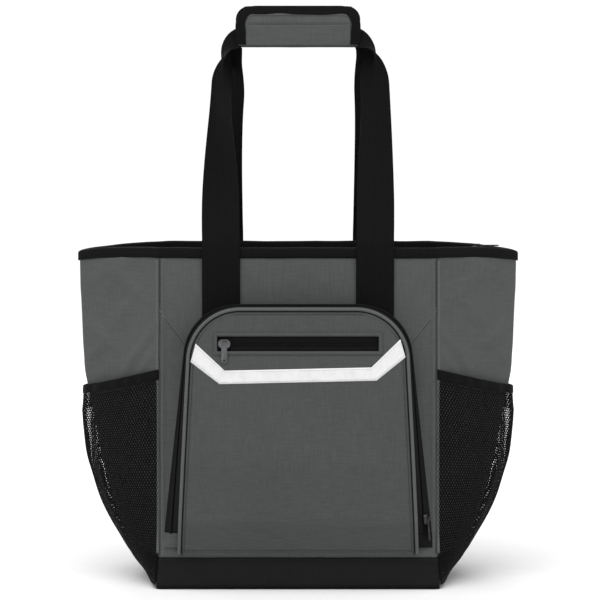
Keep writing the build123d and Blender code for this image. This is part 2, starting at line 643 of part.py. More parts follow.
def mesh_band(side, levels, inner, outer):
    """A mesh pocket's wall through several heights, between two distances outwards."""
    sections = []
    for z in levels:
        near, far = mesh_outline(z, inner), mesh_outline(z, outer)
        outer_path = far + [(x, -y) for x, y in reversed(far[:2])]
        inner_path = near + [(x, -y) for x, y in reversed(near[:2])]
        sections.append(tipped_section(side, z, mesh_tilt(z), outer_path + inner_path[::-1]))
    loft(sections, ruled=True)


for name, side in (("left", -1), ("right", 1)):
    with BuildPart() as mesh_pocket:
        mesh_band(side, MESH_LEVELS, 0, MESH_THICKNESS)
    finish(mesh_pocket, f"mesh_pocket_{name}")

    with BuildPart() as elastic:
        mesh_band(side, (MESH_LEVELS[-1] + GAP, MESH_LEVELS[-1] + ELASTIC_HEIGHT), 0, ELASTIC_THICKNESS)
    finish(elastic, f"mesh_elastic_{name}")


# --- handles ------------------------------------------------------------------------------------------
def strap_stubs(side, bottom):
    """The two stretches of webbing sewn flat to a panel, up to just over the rim."""
    with BuildSketch(Plane.XY.offset(bottom)) as feet:
        with Locations((-HANDLE_X, side * STUB_Y), (HANDLE_X, side * STUB_Y)):
            Rectangle(WEBBING_WIDTH, WEBBING_THICKNESS)
    extrude(feet.sketch, amount=STUB_TOP - bottom)


def handle_loop(side):
    """The free part of a handle: two leaning legs, and an upright arch folded narrow for the grip."""
    reach = STUB_Y - LEG_TOP_Y
    lean, length = atan2(reach, LEG_TOP - LEG_START), hypot(reach, LEG_TOP - LEG_START)
    leg_plane = Plane((0, side * STUB_Y, LEG_START), x_dir=(1, 0, 0), z_dir=(0, -cos(lean), -side * sin(lean)))
    outer, inner = HANDLE_X + WEBBING_WIDTH / 2, HANDLE_X - WEBBING_WIDTH / 2
    taper_start = LEG_STRAIGHT * length
    leg = [(inner, 0), (outer, 0), (outer, taper_start), (ARCH_OUTER, length), (ARCH_INNER, length)]
    leg += [(inner, taper_start)]
    for hand in (-1, 1):
        profile = outline_face(leg_plane, [(hand * x, up) for x, up in leg])
        extrude(profile, amount=WEBBING_THICKNESS / 2, both=True)
    right = [(ARCH_INNER, GRIP_LOW), (ARCH_INNER, ARCH_LOW), (ARCH_OUTER, ARCH_LOW)]
    right += [(ARCH_OUTER - ARCH_CHAMFER, GRIP_LOW + ARCH_CHAMFER), (ARCH_OUTER - ARCH_CORNER, GRIP_HIGH)]
    points = right + [(-x, z) for x, z in reversed(right)]
    arch_plane = Plane.XZ.offset(-side * GRIP_Y)
    extrude(outline_face(arch_plane, points), amount=FOLDED_THICKNESS / 2, both=True)


for name, side, start in (("front", -1, STUB_FRONT_START), ("rear", 1, STUB_BACK_START)):
    with BuildPart() as stubs:
        strap_stubs(side, start)
    finish(stubs, f"{name}_strap_ends")

    with BuildPart() as handle:
        handle_loop(side)
    finish(handle, f"{name}_handle_strap")


# --- grip wrap: a padded sheet folded under both straps, closed at its top edge --------------------------
def wrap_profile(side, bottom, with_fold):
    """Cross-section of one side of the wrap, with or without the fold under the straps."""
    points = [(WRAP_INNER, bottom), (WRAP_INNER, WRAP_SHOULDER), (WRAP_PINCH_IN, WRAP_TOP - WRAP_EDGE)]
    points += [(WRAP_PINCH_IN, WRAP_TOP), (WRAP_PINCH_OUT, WRAP_TOP)]
    points += [(WRAP_OUTER, WRAP_SHOULDER + SHOULDER_STEP), (WRAP_OUTER, bottom)]
    if with_fold:
        fold_top = WRAP_BOTTOM + FOLD_THICKNESS
        points[0] = (WRAP_INNER, fold_top)
        points += [(WRAP_OUTER - WRAP_EDGE, WRAP_BOTTOM), (-WRAP_INNER, WRAP_BOTTOM), (-WRAP_INNER, fold_top)]
    return outline_face(Plane.YZ, [(side * y, z) for y, z in points])


panel_half_length = WRAP_HALF_LENGTH - WRAP_BINDING
with BuildPart() as grip_wrap_rear:
    extrude(wrap_profile(1, BACK_FOOT, True), amount=panel_half_length, both=True)
finish(grip_wrap_rear, "grip_wrap_rear")

flap_foot = FLAP_HINGE_Z + FLAP_FOOT_GAP
with BuildPart() as grip_wrap_front:
    extrude(wrap_profile(-1, flap_foot, False), amount=panel_half_length, both=True)
finish(grip_wrap_front, "grip_wrap_front")


def wrap_binding(side, foot):
    """The binding round the two ends and the top edge of one side of the wrap."""
    reach, edge = WRAP_OUTER + WRAP_BINDING, WRAP_TOP + FINE_GAP
    with BuildSketch(Plane.XY.offset(edge)) as top_edge:
        with Locations((0, side * (WRAP_PINCH_IN + WRAP_PINCH_OUT) / 2)):
            Rectangle(2 * WRAP_HALF_LENGTH, WRAP_PINCH_OUT - WRAP_PINCH_IN)
    extrude(top_edge.sketch, amount=2 * WRAP_BINDING)
    points = [(WRAP_INNER, foot), (WRAP_INNER, WRAP_SHOULDER), (WRAP_PINCH_IN, WRAP_TOP - WRAP_EDGE)]
    points += [(WRAP_PINCH_IN, edge + 2 * WRAP_BINDING), (WRAP_PINCH_OUT, edge + 2 * WRAP_BINDING)]
    points += [(reach, WRAP_SHOULDER + SHOULDER_STEP), (reach, foot)]
    for end in (-1, 1):
        end_plane = Plane.YZ.offset(end * (panel_half_length + FINE_GAP + WRAP_BINDING / 2))
        profile = outline_face(end_plane, [(side * y, z) for y, z in points])
        extrude(profile, amount=WRAP_BINDING / 2, both=True)


for name, side, foot in (("rear", 1, WRAP_BOTTOM + FOLD_THICKNESS), ("front", -1, flap_foot)):
    with BuildPart() as binding:
        wrap_binding(side, foot)
    finish(binding, f"grip_binding_{name}")

for name, side in (("grip_loop_patch", 1), ("grip_hook_patch", -1)):
    with BuildPart() as patch:
        with BuildSketch(Plane.XY.offset(WRAP_TOP - PATCH_DROP)):
            with Locations((0, side * (WRAP_PINCH_IN - PATCH_THICKNESS / 2 - FINE_GAP))):
                Rectangle(PATCH_LENGTH, PATCH_THICKNESS)
        extrude(amount=PATCH_HEIGHT)
    finish(patch, name)
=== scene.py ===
from math import atan2, ceil, cos, hypot, pi, radians, sin

import bpy
import numpy as np
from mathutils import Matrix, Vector


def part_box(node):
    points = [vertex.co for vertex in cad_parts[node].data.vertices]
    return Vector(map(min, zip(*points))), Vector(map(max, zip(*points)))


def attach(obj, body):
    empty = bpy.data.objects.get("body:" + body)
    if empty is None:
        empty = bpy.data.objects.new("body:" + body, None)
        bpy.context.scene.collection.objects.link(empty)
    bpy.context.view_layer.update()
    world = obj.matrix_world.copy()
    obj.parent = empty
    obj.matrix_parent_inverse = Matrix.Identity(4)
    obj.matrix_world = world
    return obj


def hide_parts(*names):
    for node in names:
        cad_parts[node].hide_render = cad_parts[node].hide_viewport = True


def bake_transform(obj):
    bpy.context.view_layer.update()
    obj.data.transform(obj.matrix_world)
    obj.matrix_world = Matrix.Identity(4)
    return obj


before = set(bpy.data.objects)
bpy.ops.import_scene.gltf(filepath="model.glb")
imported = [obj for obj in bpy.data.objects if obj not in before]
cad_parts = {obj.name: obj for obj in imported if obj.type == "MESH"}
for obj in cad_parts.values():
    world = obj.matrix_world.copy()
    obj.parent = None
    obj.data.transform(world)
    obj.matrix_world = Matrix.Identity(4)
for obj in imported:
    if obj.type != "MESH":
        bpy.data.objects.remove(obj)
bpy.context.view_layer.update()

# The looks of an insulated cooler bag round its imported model. Shapes are worked out in millimetres in the
# model's frame (+Z up, the front faces -Y), and every mesh is scaled to metres when it is made.
MM = 0.001


def box(node):
    """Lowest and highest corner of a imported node, in millimetres."""
    return tuple(np.array(corner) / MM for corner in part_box(node))


# --- sizes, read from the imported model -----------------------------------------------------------
PANEL_LOW, PANEL_HIGH = box("outer_front_panel")
BAND_LOW, BAND_HIGH = box("base_band")
LINING_LOW, LINING_HIGH = box("lining_tub")
FACE_LOW, FACE_HIGH = box("pocket_face")
RIM_LOW, RIM_HIGH = box("rim_binding")

WALL_TOP = PANEL_HIGH[2]
BAND_TOP = BAND_HIGH[2]
BASE_HALF_WIDTH, BASE_HALF_DEPTH = box("base_sheet")[1][:2]
TOP_HALF_DEPTH = 82.0
PANEL_HALF_WIDTH = 139.0
SIDE_FLARE, FLARE_HEIGHT = 83.0, 82.0
RIM_DROOP = 6.5  # how far the rim hangs at the side folds
FOLD_SOFTNESS = 0.09  # roundness of the side folds
FOLD_DRAW = 5.0  # how far the side folds are drawn in behind the mesh
SEAM_DROP = 2.0  # how far the base band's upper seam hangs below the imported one

SHELL, FOAM, LINING = (0.0, 1.0), (1.3, 6.3), (6.6, 7.4)  # insets of the wall's layers
BINDING = (-1.3, 8.9)  # insets of the rim binding's faces


# --- the shape of the body -----------------------------------------------------------------------
def corner_x(z):
    """Half width of the front and back panels."""
    return PANEL_HALF_WIDTH + np.maximum(0.0, 1 - z / BAND_TOP) * (BASE_HALF_WIDTH - PANEL_HALF_WIDTH)


def corner_y(z):
    """Distance of the front and back panels from the middle."""
    return BASE_HALF_DEPTH + (TOP_HALF_DEPTH - BASE_HALF_DEPTH) * z / WALL_TOP


def drawn_in(z):
    """How far the side folds are drawn in behind the mesh pockets."""
    return FOLD_DRAW * np.clip((z - 45) / 50, 0, 1) * np.clip((212 - z) / 45, 0, 1)


def fold_x(z):
    """Half width at the side folds."""
    return BASE_HALF_WIDTH + SIDE_FLARE * (1 - np.exp(-z / FLARE_HEIGHT)) - drawn_in(z)


def inset_corner(z, inset):
    """Half width and half depth at the corner seams, moved inwards."""
    reach, depth = fold_x(z) - corner_x(z), corner_y(z)
    return corner_x(z) - inset * (np.hypot(reach, depth) - reach) / depth, depth - inset


def inset_fold(z, inset):
    """Half width at the side folds, moved inwards."""
    reach, depth = fold_x(z) - corner_x(z), corner_y(z)
    return fold_x(z) - inset * np.hypot(reach, depth) / depth


def ripple(a, b, size):
    """Slow uneven waves over a surface, about 1 high and size long."""
    a, b = a / size, b / size
    waves = np.sin(2.1 * a + 0.7 * b + 0.4) + np.sin(-0.9 * a + 2.6 * b + 1.9)
    return (waves + np.sin(3.7 * a + 1.9 * b + 4.1) * 0.6 + np.sin(1.3 * a - 4.3 * b + 2.2) * 0.5) / 3


def crease(a, b, start, end, width):
    """1 along a line from start to end, falling to 0 within its width and past its ends."""
    run = np.subtract(end, start)
    share = np.clip(((a - start[0]) * run[0] + (b - start[1]) * run[1]) / run.dot(run), 0, 1)
    gap = np.hypot(a - start[0] - share * run[0], b - start[1] - share * run[1])
    return np.exp(-((gap / width) ** 2)) * np.sin(pi * np.clip(share, 0.02, 0.98)) ** 0.5


def flat_wall(side, across, z, inset=0.0):
    """Points of the front (side -1) or back (side 1) wall; across runs from -1 to 1."""
    x, y = inset_corner(z, inset)
    return grid(x * across, side * y, z)


def droop(around, z):
    """How far a side wall hangs at a height; around runs from -1 at the front seam to 1 at the back seam."""
    return RIM_DROOP * (1 - np.abs(around)) ** 2.5 * np.clip(z / WALL_TOP, 0, 1.1) ** 4


def side_wall(side, around, z, inset=0.0):
    """Points of a side wall, folded down its middle."""
    x, y = inset_corner(z, inset)
    fold = inset_fold(z, inset)
    spread = (np.hypot(around, FOLD_SOFTNESS) - FOLD_SOFTNESS) / (hypot(1, FOLD_SOFTNESS) - FOLD_SOFTNESS)
    return np.stack([side * (fold - (fold - x) * spread), y * around, z - droop(around, z)], axis=-1)


def ring(z, inset, flat=41, folded=49):
    """Points once round the body, at heights that are a number or a row of numbers."""
    z = np.atleast_1d(np.asarray(z, float))[None, :]
    across, around = np.linspace(-1, 1, flat)[:, None], np.linspace(-1, 1, folded)[1:-1, None]
    runs = [flat_wall(-1, across, z, inset), side_wall(1, around, z, inset)]
    runs += [flat_wall(1, -across, z, inset), side_wall(-1, -around, z, inset)]
    return np.concatenate(runs)


# --- making meshes -------------------------------------------------------------------------------
def normals(points, closed=False):
    """Unit normals of a grid of points."""
    if closed:
        along = np.roll(points, -1, axis=0) - np.roll(points, 1, axis=0)
    else:
        along = np.gradient(points, axis=0)
    found = np.cross(along, np.gradient(points, axis=1))
    return found / np.maximum(np.linalg.norm(found, axis=-1, keepdims=True), 1e-9)


def facing(points, direction):
    """True if a grid's normals point away from a direction."""
    return float(np.sum(normals(points) * np.array(direction))) < 0


def away(points, direction):
    """A grid's normals, turned to point in a direction."""
    return normals(points) * (-1 if facing(points, direction) else 1)


def away_from_middle(loop):
    """Normals of a grid once round the body, turned outwards."""
    out = normals(loop, closed=True)
    return -out if float(np.sum(out[..., :2] * loop[..., :2])) < 0 else out


def grid(x, y, z):
    """Points of a grid, from numbers, rows, columns or whole grids of coordinates."""
    return np.stack(np.broadcast_arrays(x, y, z), axis=-1)


def thick(outer, thickness, out=None):
    """A closed sheet: a grid of points and its copy, a thickness behind. out is where it faces."""
    back = normals(outer) if out is None else away(outer, out)
    return between(outer, outer - back * thickness, out)


def between(outer, inner, out=None, closed=False, holes=None):
    """A closed sheet between two grids. out is where the first faces; holes marks the open cells."""
    flip = out is not None and facing(outer, out)
    rows, columns = outer.shape[:2]
    cells_u = rows if closed else rows - 1
    u, v = np.meshgrid(np.arange(cells_u), np.arange(columns - 1), indexing="ij")
    keep = np.ones(u.shape, bool) if holes is None else ~holes
    after = (u + 1) % rows
    corners = [u * columns + v, after * columns + v, after * columns + v + 1, u * columns + v + 1]
    if flip:
        corners = [corners[k] for k in (0, 3, 2, 1)]
    a, b, c, d = (k[keep] for k in corners)
    far = rows * columns
    faces = [np.stack([a, b, c, d], 1), np.stack([d, c, b, a], 1) + far]
    sides = [(0, -1, 0, 1), (1, 0, 1, 2), (0, 1, 2, 3), (-1, 0, 3, 0)]
    for step_u, step_v, first, second in sides:
        near_u, near_v = u + step_u, v + step_v
        if closed:
            near_u = near_u % cells_u
        inside = (near_u >= 0) & (near_u < cells_u) & (near_v >= 0) & (near_v < columns - 1)
        joined = np.zeros(u.shape, bool)
        joined[inside] = keep[near_u[inside], near_v[inside]]
        edge = keep & ~joined
        plain = [u * columns + v, after * columns + v, after * columns + v + 1, u * columns + v + 1]
        p, q = plain[first][edge], plain[second][edge]
        if flip:
            p, q = q, p
        faces.append(np.stack([q, p, p + far, q + far], 1))
    points = np.concatenate([outer.reshape(-1, 3), inner.reshape(-1, 3)])
    return tidy(points, np.concatenate(faces))


def tidy(points, faces):
    """Drops the points that no face uses."""
    used = np.unique(faces)
    place = np.zeros(len(points), int)
    place[used] = np.arange(len(used))
    return points[used], place[faces].tolist()


def tube(rings, closed=False):
    """A solid along rings of points, with flat ends unless it is closed."""
    count, size = rings.shape[:2]
    i, k = np.meshgrid(np.arange(count if closed else count - 1), np.arange(size), indexing="ij")
    after, beside = (i + 1) % count, (k + 1) % size
    quads = [i * size + k, i * size + beside, after * size + beside, after * size + k]
    faces = np.stack([q.ravel() for q in quads], 1).tolist()
    if not closed:
        faces += [list(range(size))[::-1], [(count - 1) * size + k for k in range(size)]]
    return rings.reshape(-1, 3), faces


def unit(vectors):
    """Vectors scaled to length 1."""
    return vectors / np.maximum(np.linalg.norm(vectors, axis=-1, keepdims=True), 1e-9)


def stepped(path, out, step):
    """A path at even steps, with the direction out of the cloth at each point."""
    path = np.asarray(path, float)
    out = np.broadcast_to(np.asarray(out, float), path.shape)
    length = np.concatenate([[0], np.cumsum(np.linalg.norm(np.diff(path, axis=0), axis=1))])
    at = np.linspace(0, length[-1], max(2, int(ceil(length[-1] / step)) + 1))
    return [np.stack([np.interp(at, length, column) for column in values.T], 1) for values in (path, out)]


def evenly(path, step):
    """A path's points at even steps."""
    return stepped(path, 0, step)[0]


def smoothed(path, rounds=3):
    """A path with its corners cut off."""
    path = np.asarray(path, float)
    for _ in range(rounds):
        quarter = path[:-1] * 0.75 + path[1:] * 0.25
        three = path[:-1] * 0.25 + path[1:] * 0.75
        path = np.concatenate([path[:1], np.stack([quarter, three], 1).reshape(-1, path.shape[1]), path[-1:]])
    return path


def frames(path, out):
    """Directions along a path, across it and out of the cloth."""
    run = unit(np.gradient(path, axis=0))
    out = np.broadcast_to(np.asarray(out, float), path.shape)
    out = unit(out - run * np.sum(out * run, axis=1, keepdims=True))
    return run, unit(np.cross(run, out)), out


def swept(path, out, section):
    """A section of (across, out) points carried along a path."""
    _, across, up = frames(path, out)
    section = np.asarray(section, float)
    if section.ndim == 2:
        section = np.broadcast_to(section, (len(path), *section.shape))
    return tube(path[:, None] + across[:, None] * section[..., :1] + up[:, None] * section[..., 1:])


def oval(half_width, half_height, power=2.6, count=16):
    """A rounded section."""
    turn = np.linspace(0, 2 * pi, count, endpoint=False)
    x, y = np.cos(turn), np.sin(turn)
    return np.stack([np.sign(x) * np.abs(x) ** (2 / power) * half_width,
                     np.sign(y) * np.abs(y) ** (2 / power) * half_height], 1)


def threads(path, out, pitch=3.6, length=2.5, radius=0.32, lean=0.0, sides=6):
    """Stitches in a row along a path. lean turns each one away from the row, in radians."""
    path, out = stepped(path, out, pitch)
    run, across, up = frames(path, out)
    middle = (path[:-1] + path[1:]) / 2
    run, across, up = (unit(v[:-1] + v[1:]) for v in (run, across, up))
    run, across = run * cos(lean) + across * sin(lean), across * cos(lean) - run * sin(lean)
    turn = np.linspace(0, 2 * pi, sides, endpoint=False)[None, :, None]
    stations = ((-0.5, 0.35), (-0.3, 0.95), (0.3, 0.95), (0.5, 0.35))
    rings = np.stack([
        middle[:, None] + run[:, None] * length * along
        + radius * size * (across[:, None] * np.cos(turn) + up[:, None] * np.sin(turn))
        for along, size in stations], 1)
    points, faces = [], []
    one = tube(rings[0])[1]
    for k, item in enumerate(rings):
        points.append(item.reshape(-1, 3))
        faces += [[v + k * len(stations) * sides for v in face] for face in one]
    return np.concatenate(points), faces


def piece(name, parts, look, body, replaced=(), blended=None):
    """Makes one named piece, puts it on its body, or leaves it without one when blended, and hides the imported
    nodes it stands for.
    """
    points, faces, start = [], [], 0
    for part_points, part_faces in parts:
        points.append(part_points)
        faces += [[v + start for v in face] for face in part_faces]
        start += len(part_points)
    mesh = bpy.data.meshes.new(name)
    mesh.from_pydata((np.concatenate(points) * MM).tolist(), [], faces)
    mesh.shade_smooth()
    mesh.materials.append(LOOKS[look])
    made = bpy.data.objects.new(name, mesh)
    bpy.context.scene.collection.objects.link(made)
    if blended:
        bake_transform(made)
    else:
        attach(made, body)
    if replaced:
        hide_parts(*replaced)
    return made


# --- materials -----------------------------------------------------------------------------------
class Look:
    """A node material, built up from the object's own coordinates."""

    def __init__(self, name, metallic=0.0, sheen=0.0, coat=0.0, specular=0.5):
        self.material = bpy.data.materials.new(name)
        self.material.use_nodes = True
        self.tree = self.material.node_tree
        self.shader = self.tree.nodes["Principled BSDF"]
        self.shader.inputs["Metallic"].default_value = metallic
        self.shader.inputs["Sheen Weight"].default_value = sheen
        self.shader.inputs["Sheen Roughness"].default_value = 0.5
        self.shader.inputs["Coat Weight"].default_value = coat
        self.shader.inputs["Coat Roughness"].default_value = 0.35
        self.shader.inputs["Specular IOR Level"].default_value = specular
        self.place = self.add("ShaderNodeTexCoord").outputs["Object"]

    def add(self, kind, **values):
        node = self.tree.nodes.new(kind)
        for name, value in values.items():
            setattr(node, name, value)
        return node

    def join(self, source, target):
        self.tree.links.new(source, target)

    def put(self, node, **values):
        for name, value in values.items():
            socket = node.inputs[name.replace("_", " ")]
            if isinstance(value, bpy.types.NodeSocket):
                self.join(value, socket)
            else:
                socket.default_value = value
        return node

    def stretched(self, scale, turn=(0, 0, 0)):
        node = self.add("ShaderNodeMapping")
        self.join(self.place, node.inputs["Vector"])
        node.inputs["Scale"].default_value = scale
        node.inputs["Rotation"].default_value = turn
        return node.outputs["Vector"]

    def noise(self, scale, detail=3.0, vector=None):
        node = self.put(self.add("ShaderNodeTexNoise"), Vector=vector or self.place, Scale=scale, Detail=detail)
        node.inputs["Roughness"].default_value = 0.55
        return node.outputs["Fac"]

    def bands(self, pitch, direction, wobble=1.0, turn=(0, 0, 0)):
        node = self.add("ShaderNodeTexWave", wave_type="BANDS", bands_direction=direction)
        scale = 2 * pi / 20 / (pitch * MM)
        self.put(node, Vector=self.stretched((1, 1, 1), turn), Scale=scale, Distortion=wobble, Detail=1.0)
        return node.outputs["Fac"]

    def cells(self, scale):
        node = self.put(self.add("ShaderNodeTexVoronoi"), Vector=self.place, Scale=scale)
        return node.outputs["Distance"]

    def math(self, operation, a, b=0.5):
        node = self.add("ShaderNodeMath", operation=operation)
        for socket, value in zip(node.inputs, (a, b)):
            if isinstance(value, bpy.types.NodeSocket):
                self.join(value, socket)
            else:
                socket.default_value = value
        return node.outputs[0]

    def graded(self, factor, stops):
        node = self.add("ShaderNodeValToRGB")
        self.join(factor, node.inputs["Fac"])
        elements = node.color_ramp.elements
        for element, (at, colour) in zip(elements, (stops[0], stops[-1])):
            element.position, element.color = at, (*colour, 1)
        for at, colour in stops[1:-1]:
            elements.new(at).color = (*colour, 1)
        return node.outputs["Color"]

    def finish(self, colour, rough, height, strength, depth):
        self.join(colour, self.shader.inputs["Base Color"])
        self.join(rough, self.shader.inputs["Roughness"])
        bump = self.add("ShaderNodeBump")
        bump.inputs["Strength"].default_value = strength
        bump.inputs["Distance"].default_value = depth * MM
        self.join(height, bump.inputs["Height"])
        self.join(bump.outputs["Normal"], self.shader.inputs["Normal"])
        return self.material


def shade(colour, factor):
    """A colour made lighter or darker."""
    return tuple(min(1.0, c * factor) for c in colour)


def woven(name, colour, pitch, contrast=0.16, rough=0.8, sheen=0.02, depth=0.25, worn=0.12):
    """Plain woven cloth: two sets of threads, uneven yarn, and large faint patches of wear."""
    look = Look(name, sheen=sheen, specular=0.07)
    warp, weft = look.bands(pitch, "X", 1.5), look.bands(pitch, "Z", 1.5)
    cloth = look.math("MAXIMUM", warp, weft)
    slub = look.math("MULTIPLY", look.noise(1.0, 2.0, vector=look.stretched((900, 900, 60))),
                     look.noise(1.0, 2.0, vector=look.stretched((60, 60, 900))))
    patches = look.noise(9.0, 4.0)
    tone = look.math("ADD", look.math("MULTIPLY", cloth, contrast), look.math("MULTIPLY", slub, 1.0))
    tone = look.math("ADD", tone, look.math("MULTIPLY", patches, worn * 2))
    stops = [(0.15, shade(colour, 1 - contrast - worn)), (0.45, colour),
             (0.85, shade(colour, 1 + contrast + worn))]
    roughness = look.math("ADD", look.math("MULTIPLY", patches, 0.15), rough - 0.08)
    height = look.math("ADD", cloth, look.math("MULTIPLY", slub, 1.2))
    return look.finish(look.graded(tone, stops), roughness, height, 0.55, depth)


def ribbed(name, colour, pitch, direction, rough=0.7, depth=0.3, sheen=0.01):
    """Webbing, tape or elastic: strong ribs one way and fine picks the other way."""
    look = Look(name, sheen=sheen, specular=0.045)
    ribs = look.bands(pitch, direction, 0.4)
    picks = look.bands(pitch * 0.45, "Z" if direction == "X" else "X", 0.8)
    fuzz = look.noise(420.0, 3.0)
    tone = look.math("ADD", look.math("MULTIPLY", ribs, 0.5), look.math("MULTIPLY", fuzz, 0.5))
    stops = [(0.1, shade(colour, 0.6)), (0.5, colour), (0.9, shade(colour, 1.7))]
    roughness = look.math("ADD", look.math("MULTIPLY", fuzz, 0.2), rough - 0.1)
    height = look.math("ADD", ribs, look.math("MULTIPLY", picks, 0.5))
    return look.finish(look.graded(tone, stops), roughness, height, 0.6, depth)


def metal(name, colour):
    """Plated zinc with fine cast grain and rubbed patches."""
    look = Look(name, metallic=1.0)
    grain, rubbed = look.noise(900.0, 4.0), look.noise(140.0, 3.0)
    stops = [(0.3, shade(colour, 0.7)), (0.55, colour), (0.75, shade(colour, 1.6))]
    roughness = look.math("ADD", look.math("MULTIPLY", rubbed, 0.25), 0.2)
    return look.finish(look.graded(rubbed, stops), roughness, grain, 0.25, 0.08)


def plastic(name, colour, rough=0.45, shine=0.25):
    """Moulded nylon or polyethylene with a fine skin and scuffs."""
    look = Look(name, specular=shine)
    skin, scuffs = look.noise(700.0, 3.0), look.noise(60.0, 4.0)
    stops = [(0.3, shade(colour, 0.75)), (0.6, colour), (0.8, shade(colour, 1.5))]
    roughness = look.math("ADD", look.math("MULTIPLY", scuffs, 0.25), rough - 0.1)
    return look.finish(look.graded(scuffs, stops), roughness, skin, 0.3, 0.08)


def foamed(name, colour):
    """Closed-cell foam: packed bubbles."""
    look = Look(name, specular=0.2)
    bubbles, patches = look.cells(650.0), look.noise(25.0, 3.0)
    stops = [(0.0, shade(colour, 0.8)), (0.4, colour), (0.8, shade(colour, 1.1))]
    roughness = look.math("ADD", look.math("MULTIPLY", patches, 0.1), 0.82)
    return look.finish(look.graded(bubbles, stops), roughness, bubbles, 0.5, 0.3)


def film(name, colour):
    """Foil-backed lining film: an embossed diamond grain, soft shine and small puckers."""
    look = Look(name, metallic=0.35, coat=0.3)
    one = look.bands(3.2, "X", 0.3, (0, radians(45), 0))
    other = look.bands(3.2, "Z", 0.3, (0, radians(45), 0))
    emboss, pucker = look.math("MULTIPLY", one, other), look.noise(45.0, 4.0)
    tone = look.math("ADD", look.math("MULTIPLY", emboss, 0.3), look.math("MULTIPLY", pucker, 0.7))
    stops = [(0.2, shade(colour, 0.8)), (0.5, colour), (0.8, shade(colour, 1.15))]
    roughness = look.math("ADD", look.math("MULTIPLY", pucker, 0.3), 0.2)
    height = look.math("ADD", look.math("MULTIPLY", emboss, 0.3), look.math("MULTIPLY", pucker, 1.5))
    return look.finish(look.graded(tone, stops), roughness, height, 0.5, 0.8)


def glassy_tape(name, colour):
    """Retroreflective tape: a fine honeycomb of cells under a smooth skin."""
    look = Look(name, coat=0.1, specular=0.2)
    honeycomb, dust = look.cells(1400.0), look.noise(120.0, 4.0)
    tone = look.math("ADD", look.math("MULTIPLY", honeycomb, 0.25), look.math("MULTIPLY", dust, 0.75))
    stops = [(0.2, shade(colour, 0.86)), (0.5, colour), (0.8, shade(colour, 1.08))]
    roughness = look.math("ADD", look.math("MULTIPLY", dust, 0.2), 0.3)
    return look.finish(look.graded(tone, stops), roughness, honeycomb, 0.3, 0.1)


def fuzzy(name, colour):
    """Hook and loop tape: a dense pile of small loops."""
    look = Look(name, sheen=0.1, specular=0.06)
    loops, pile = look.cells(800.0), look.noise(500.0, 4.0)
    stops = [(0.0, shade(colour, 0.6)), (0.5, colour), (1.0, shade(colour, 2.0))]
    roughness = look.math("ADD", look.math("MULTIPLY", pile, 0.1), 0.85)
    return look.finish(look.graded(pile, stops), roughness, loops, 0.8, 0.5)


GREY, BLACK = (0.074, 0.078, 0.0765), (0.0088, 0.0088, 0.0090)
LOOKS = {
    "grey_fabric": woven("grey_fabric", shade(GREY, 1.05), 0.95),
    # The pocket face's cloth is the grey fabric made darker, as painted shade.
    "face_fabric_painted_shade": woven("face_fabric_painted_shade", shade(GREY, 0.89), 0.95),
    "black_fabric": woven("black_fabric", BLACK, 0.9, contrast=0.25, rough=0.62, sheen=0.01),
    "binding": ribbed("binding", (0.0058, 0.0058, 0.0060), 1.2, "X", rough=0.75),
    "webbing": ribbed("webbing", (0.0048, 0.0048, 0.0050), 2.1, "X", rough=0.7, depth=0.4),
    "mesh": ribbed("mesh", (0.0032, 0.0032, 0.0032), 0.6, "Z", rough=0.7, depth=0.1),
    "elastic": ribbed("elastic", (0.0052, 0.0052, 0.0052), 1.0, "Z", rough=0.8),
    "zip_tape": ribbed("zip_tape", (0.009, 0.009, 0.0095), 0.8, "X", rough=0.8, depth=0.2),
    "zip_coil": plastic("zip_coil", (0.008, 0.008, 0.008), rough=0.45, shine=0.1),
    "zip_metal": metal("zip_metal", (0.13, 0.13, 0.135)),
    "reflective": glassy_tape("reflective", (0.70, 0.70, 0.70)),
    "foam": foamed("foam", (0.72, 0.72, 0.70)),
    "board": plastic("board", (0.03, 0.03, 0.03)),
    "lining": film("lining", (0.56, 0.57, 0.58)),
    "hook_loop": fuzzy("hook_loop", (0.010, 0.010, 0.010)),
    # Grey thread; the slanting seams' dark lines also wear it, as painted shade.
    "grey_thread_and_painted_shade": plastic("grey_thread_and_painted_shade", shade(GREY, 0.6), rough=0.7, shine=0.08),
    "pale_thread": plastic("pale_thread", (0.5, 0.5, 0.5), rough=0.7, shine=0.08),
    # Black thread; the dark line just inside the pocket piping also wears it, as painted shade.
    "black_thread_and_painted_shade": plastic("black_thread_and_painted_shade", (0.009, 0.009, 0.0095), rough=0.7, shine=0.06),
    # The paler cloth of the pocket piping is its own colour; the seam welts wear it as a painted highlight.
    "piping_and_highlight_cloth": woven("piping_and_highlight_cloth", shade(GREY, 1.35), 0.8, contrast=0.1, worn=0.05),
    "zip_dark": metal("zip_dark", (0.05, 0.05, 0.052)),
}


# --- walls: outer panels, foam and lining --------------------------------------------------------
SEAM_ROLL = 3.5  # width of the turned edge beside each corner seam


def denser_ends(count):
    """Steps from -1 to 1, closer together at both ends."""
    even = np.linspace(-1, 1, count)
    return 0.55 * even + 0.45 * np.sin(even * pi / 2)


def seam_roll(distance):
    """Height of the cloth beside a seam: a groove at the seam, then a soft raised edge."""
    return 0.9 * np.exp(-(((distance - SEAM_ROLL) / 2.2) ** 2)) - 1.1 * np.exp(-((distance / 0.9) ** 2))


def levels(bottom, top, count):
    """Heights up a wall, as a row."""
    return np.linspace(bottom, top, count)[None, :]


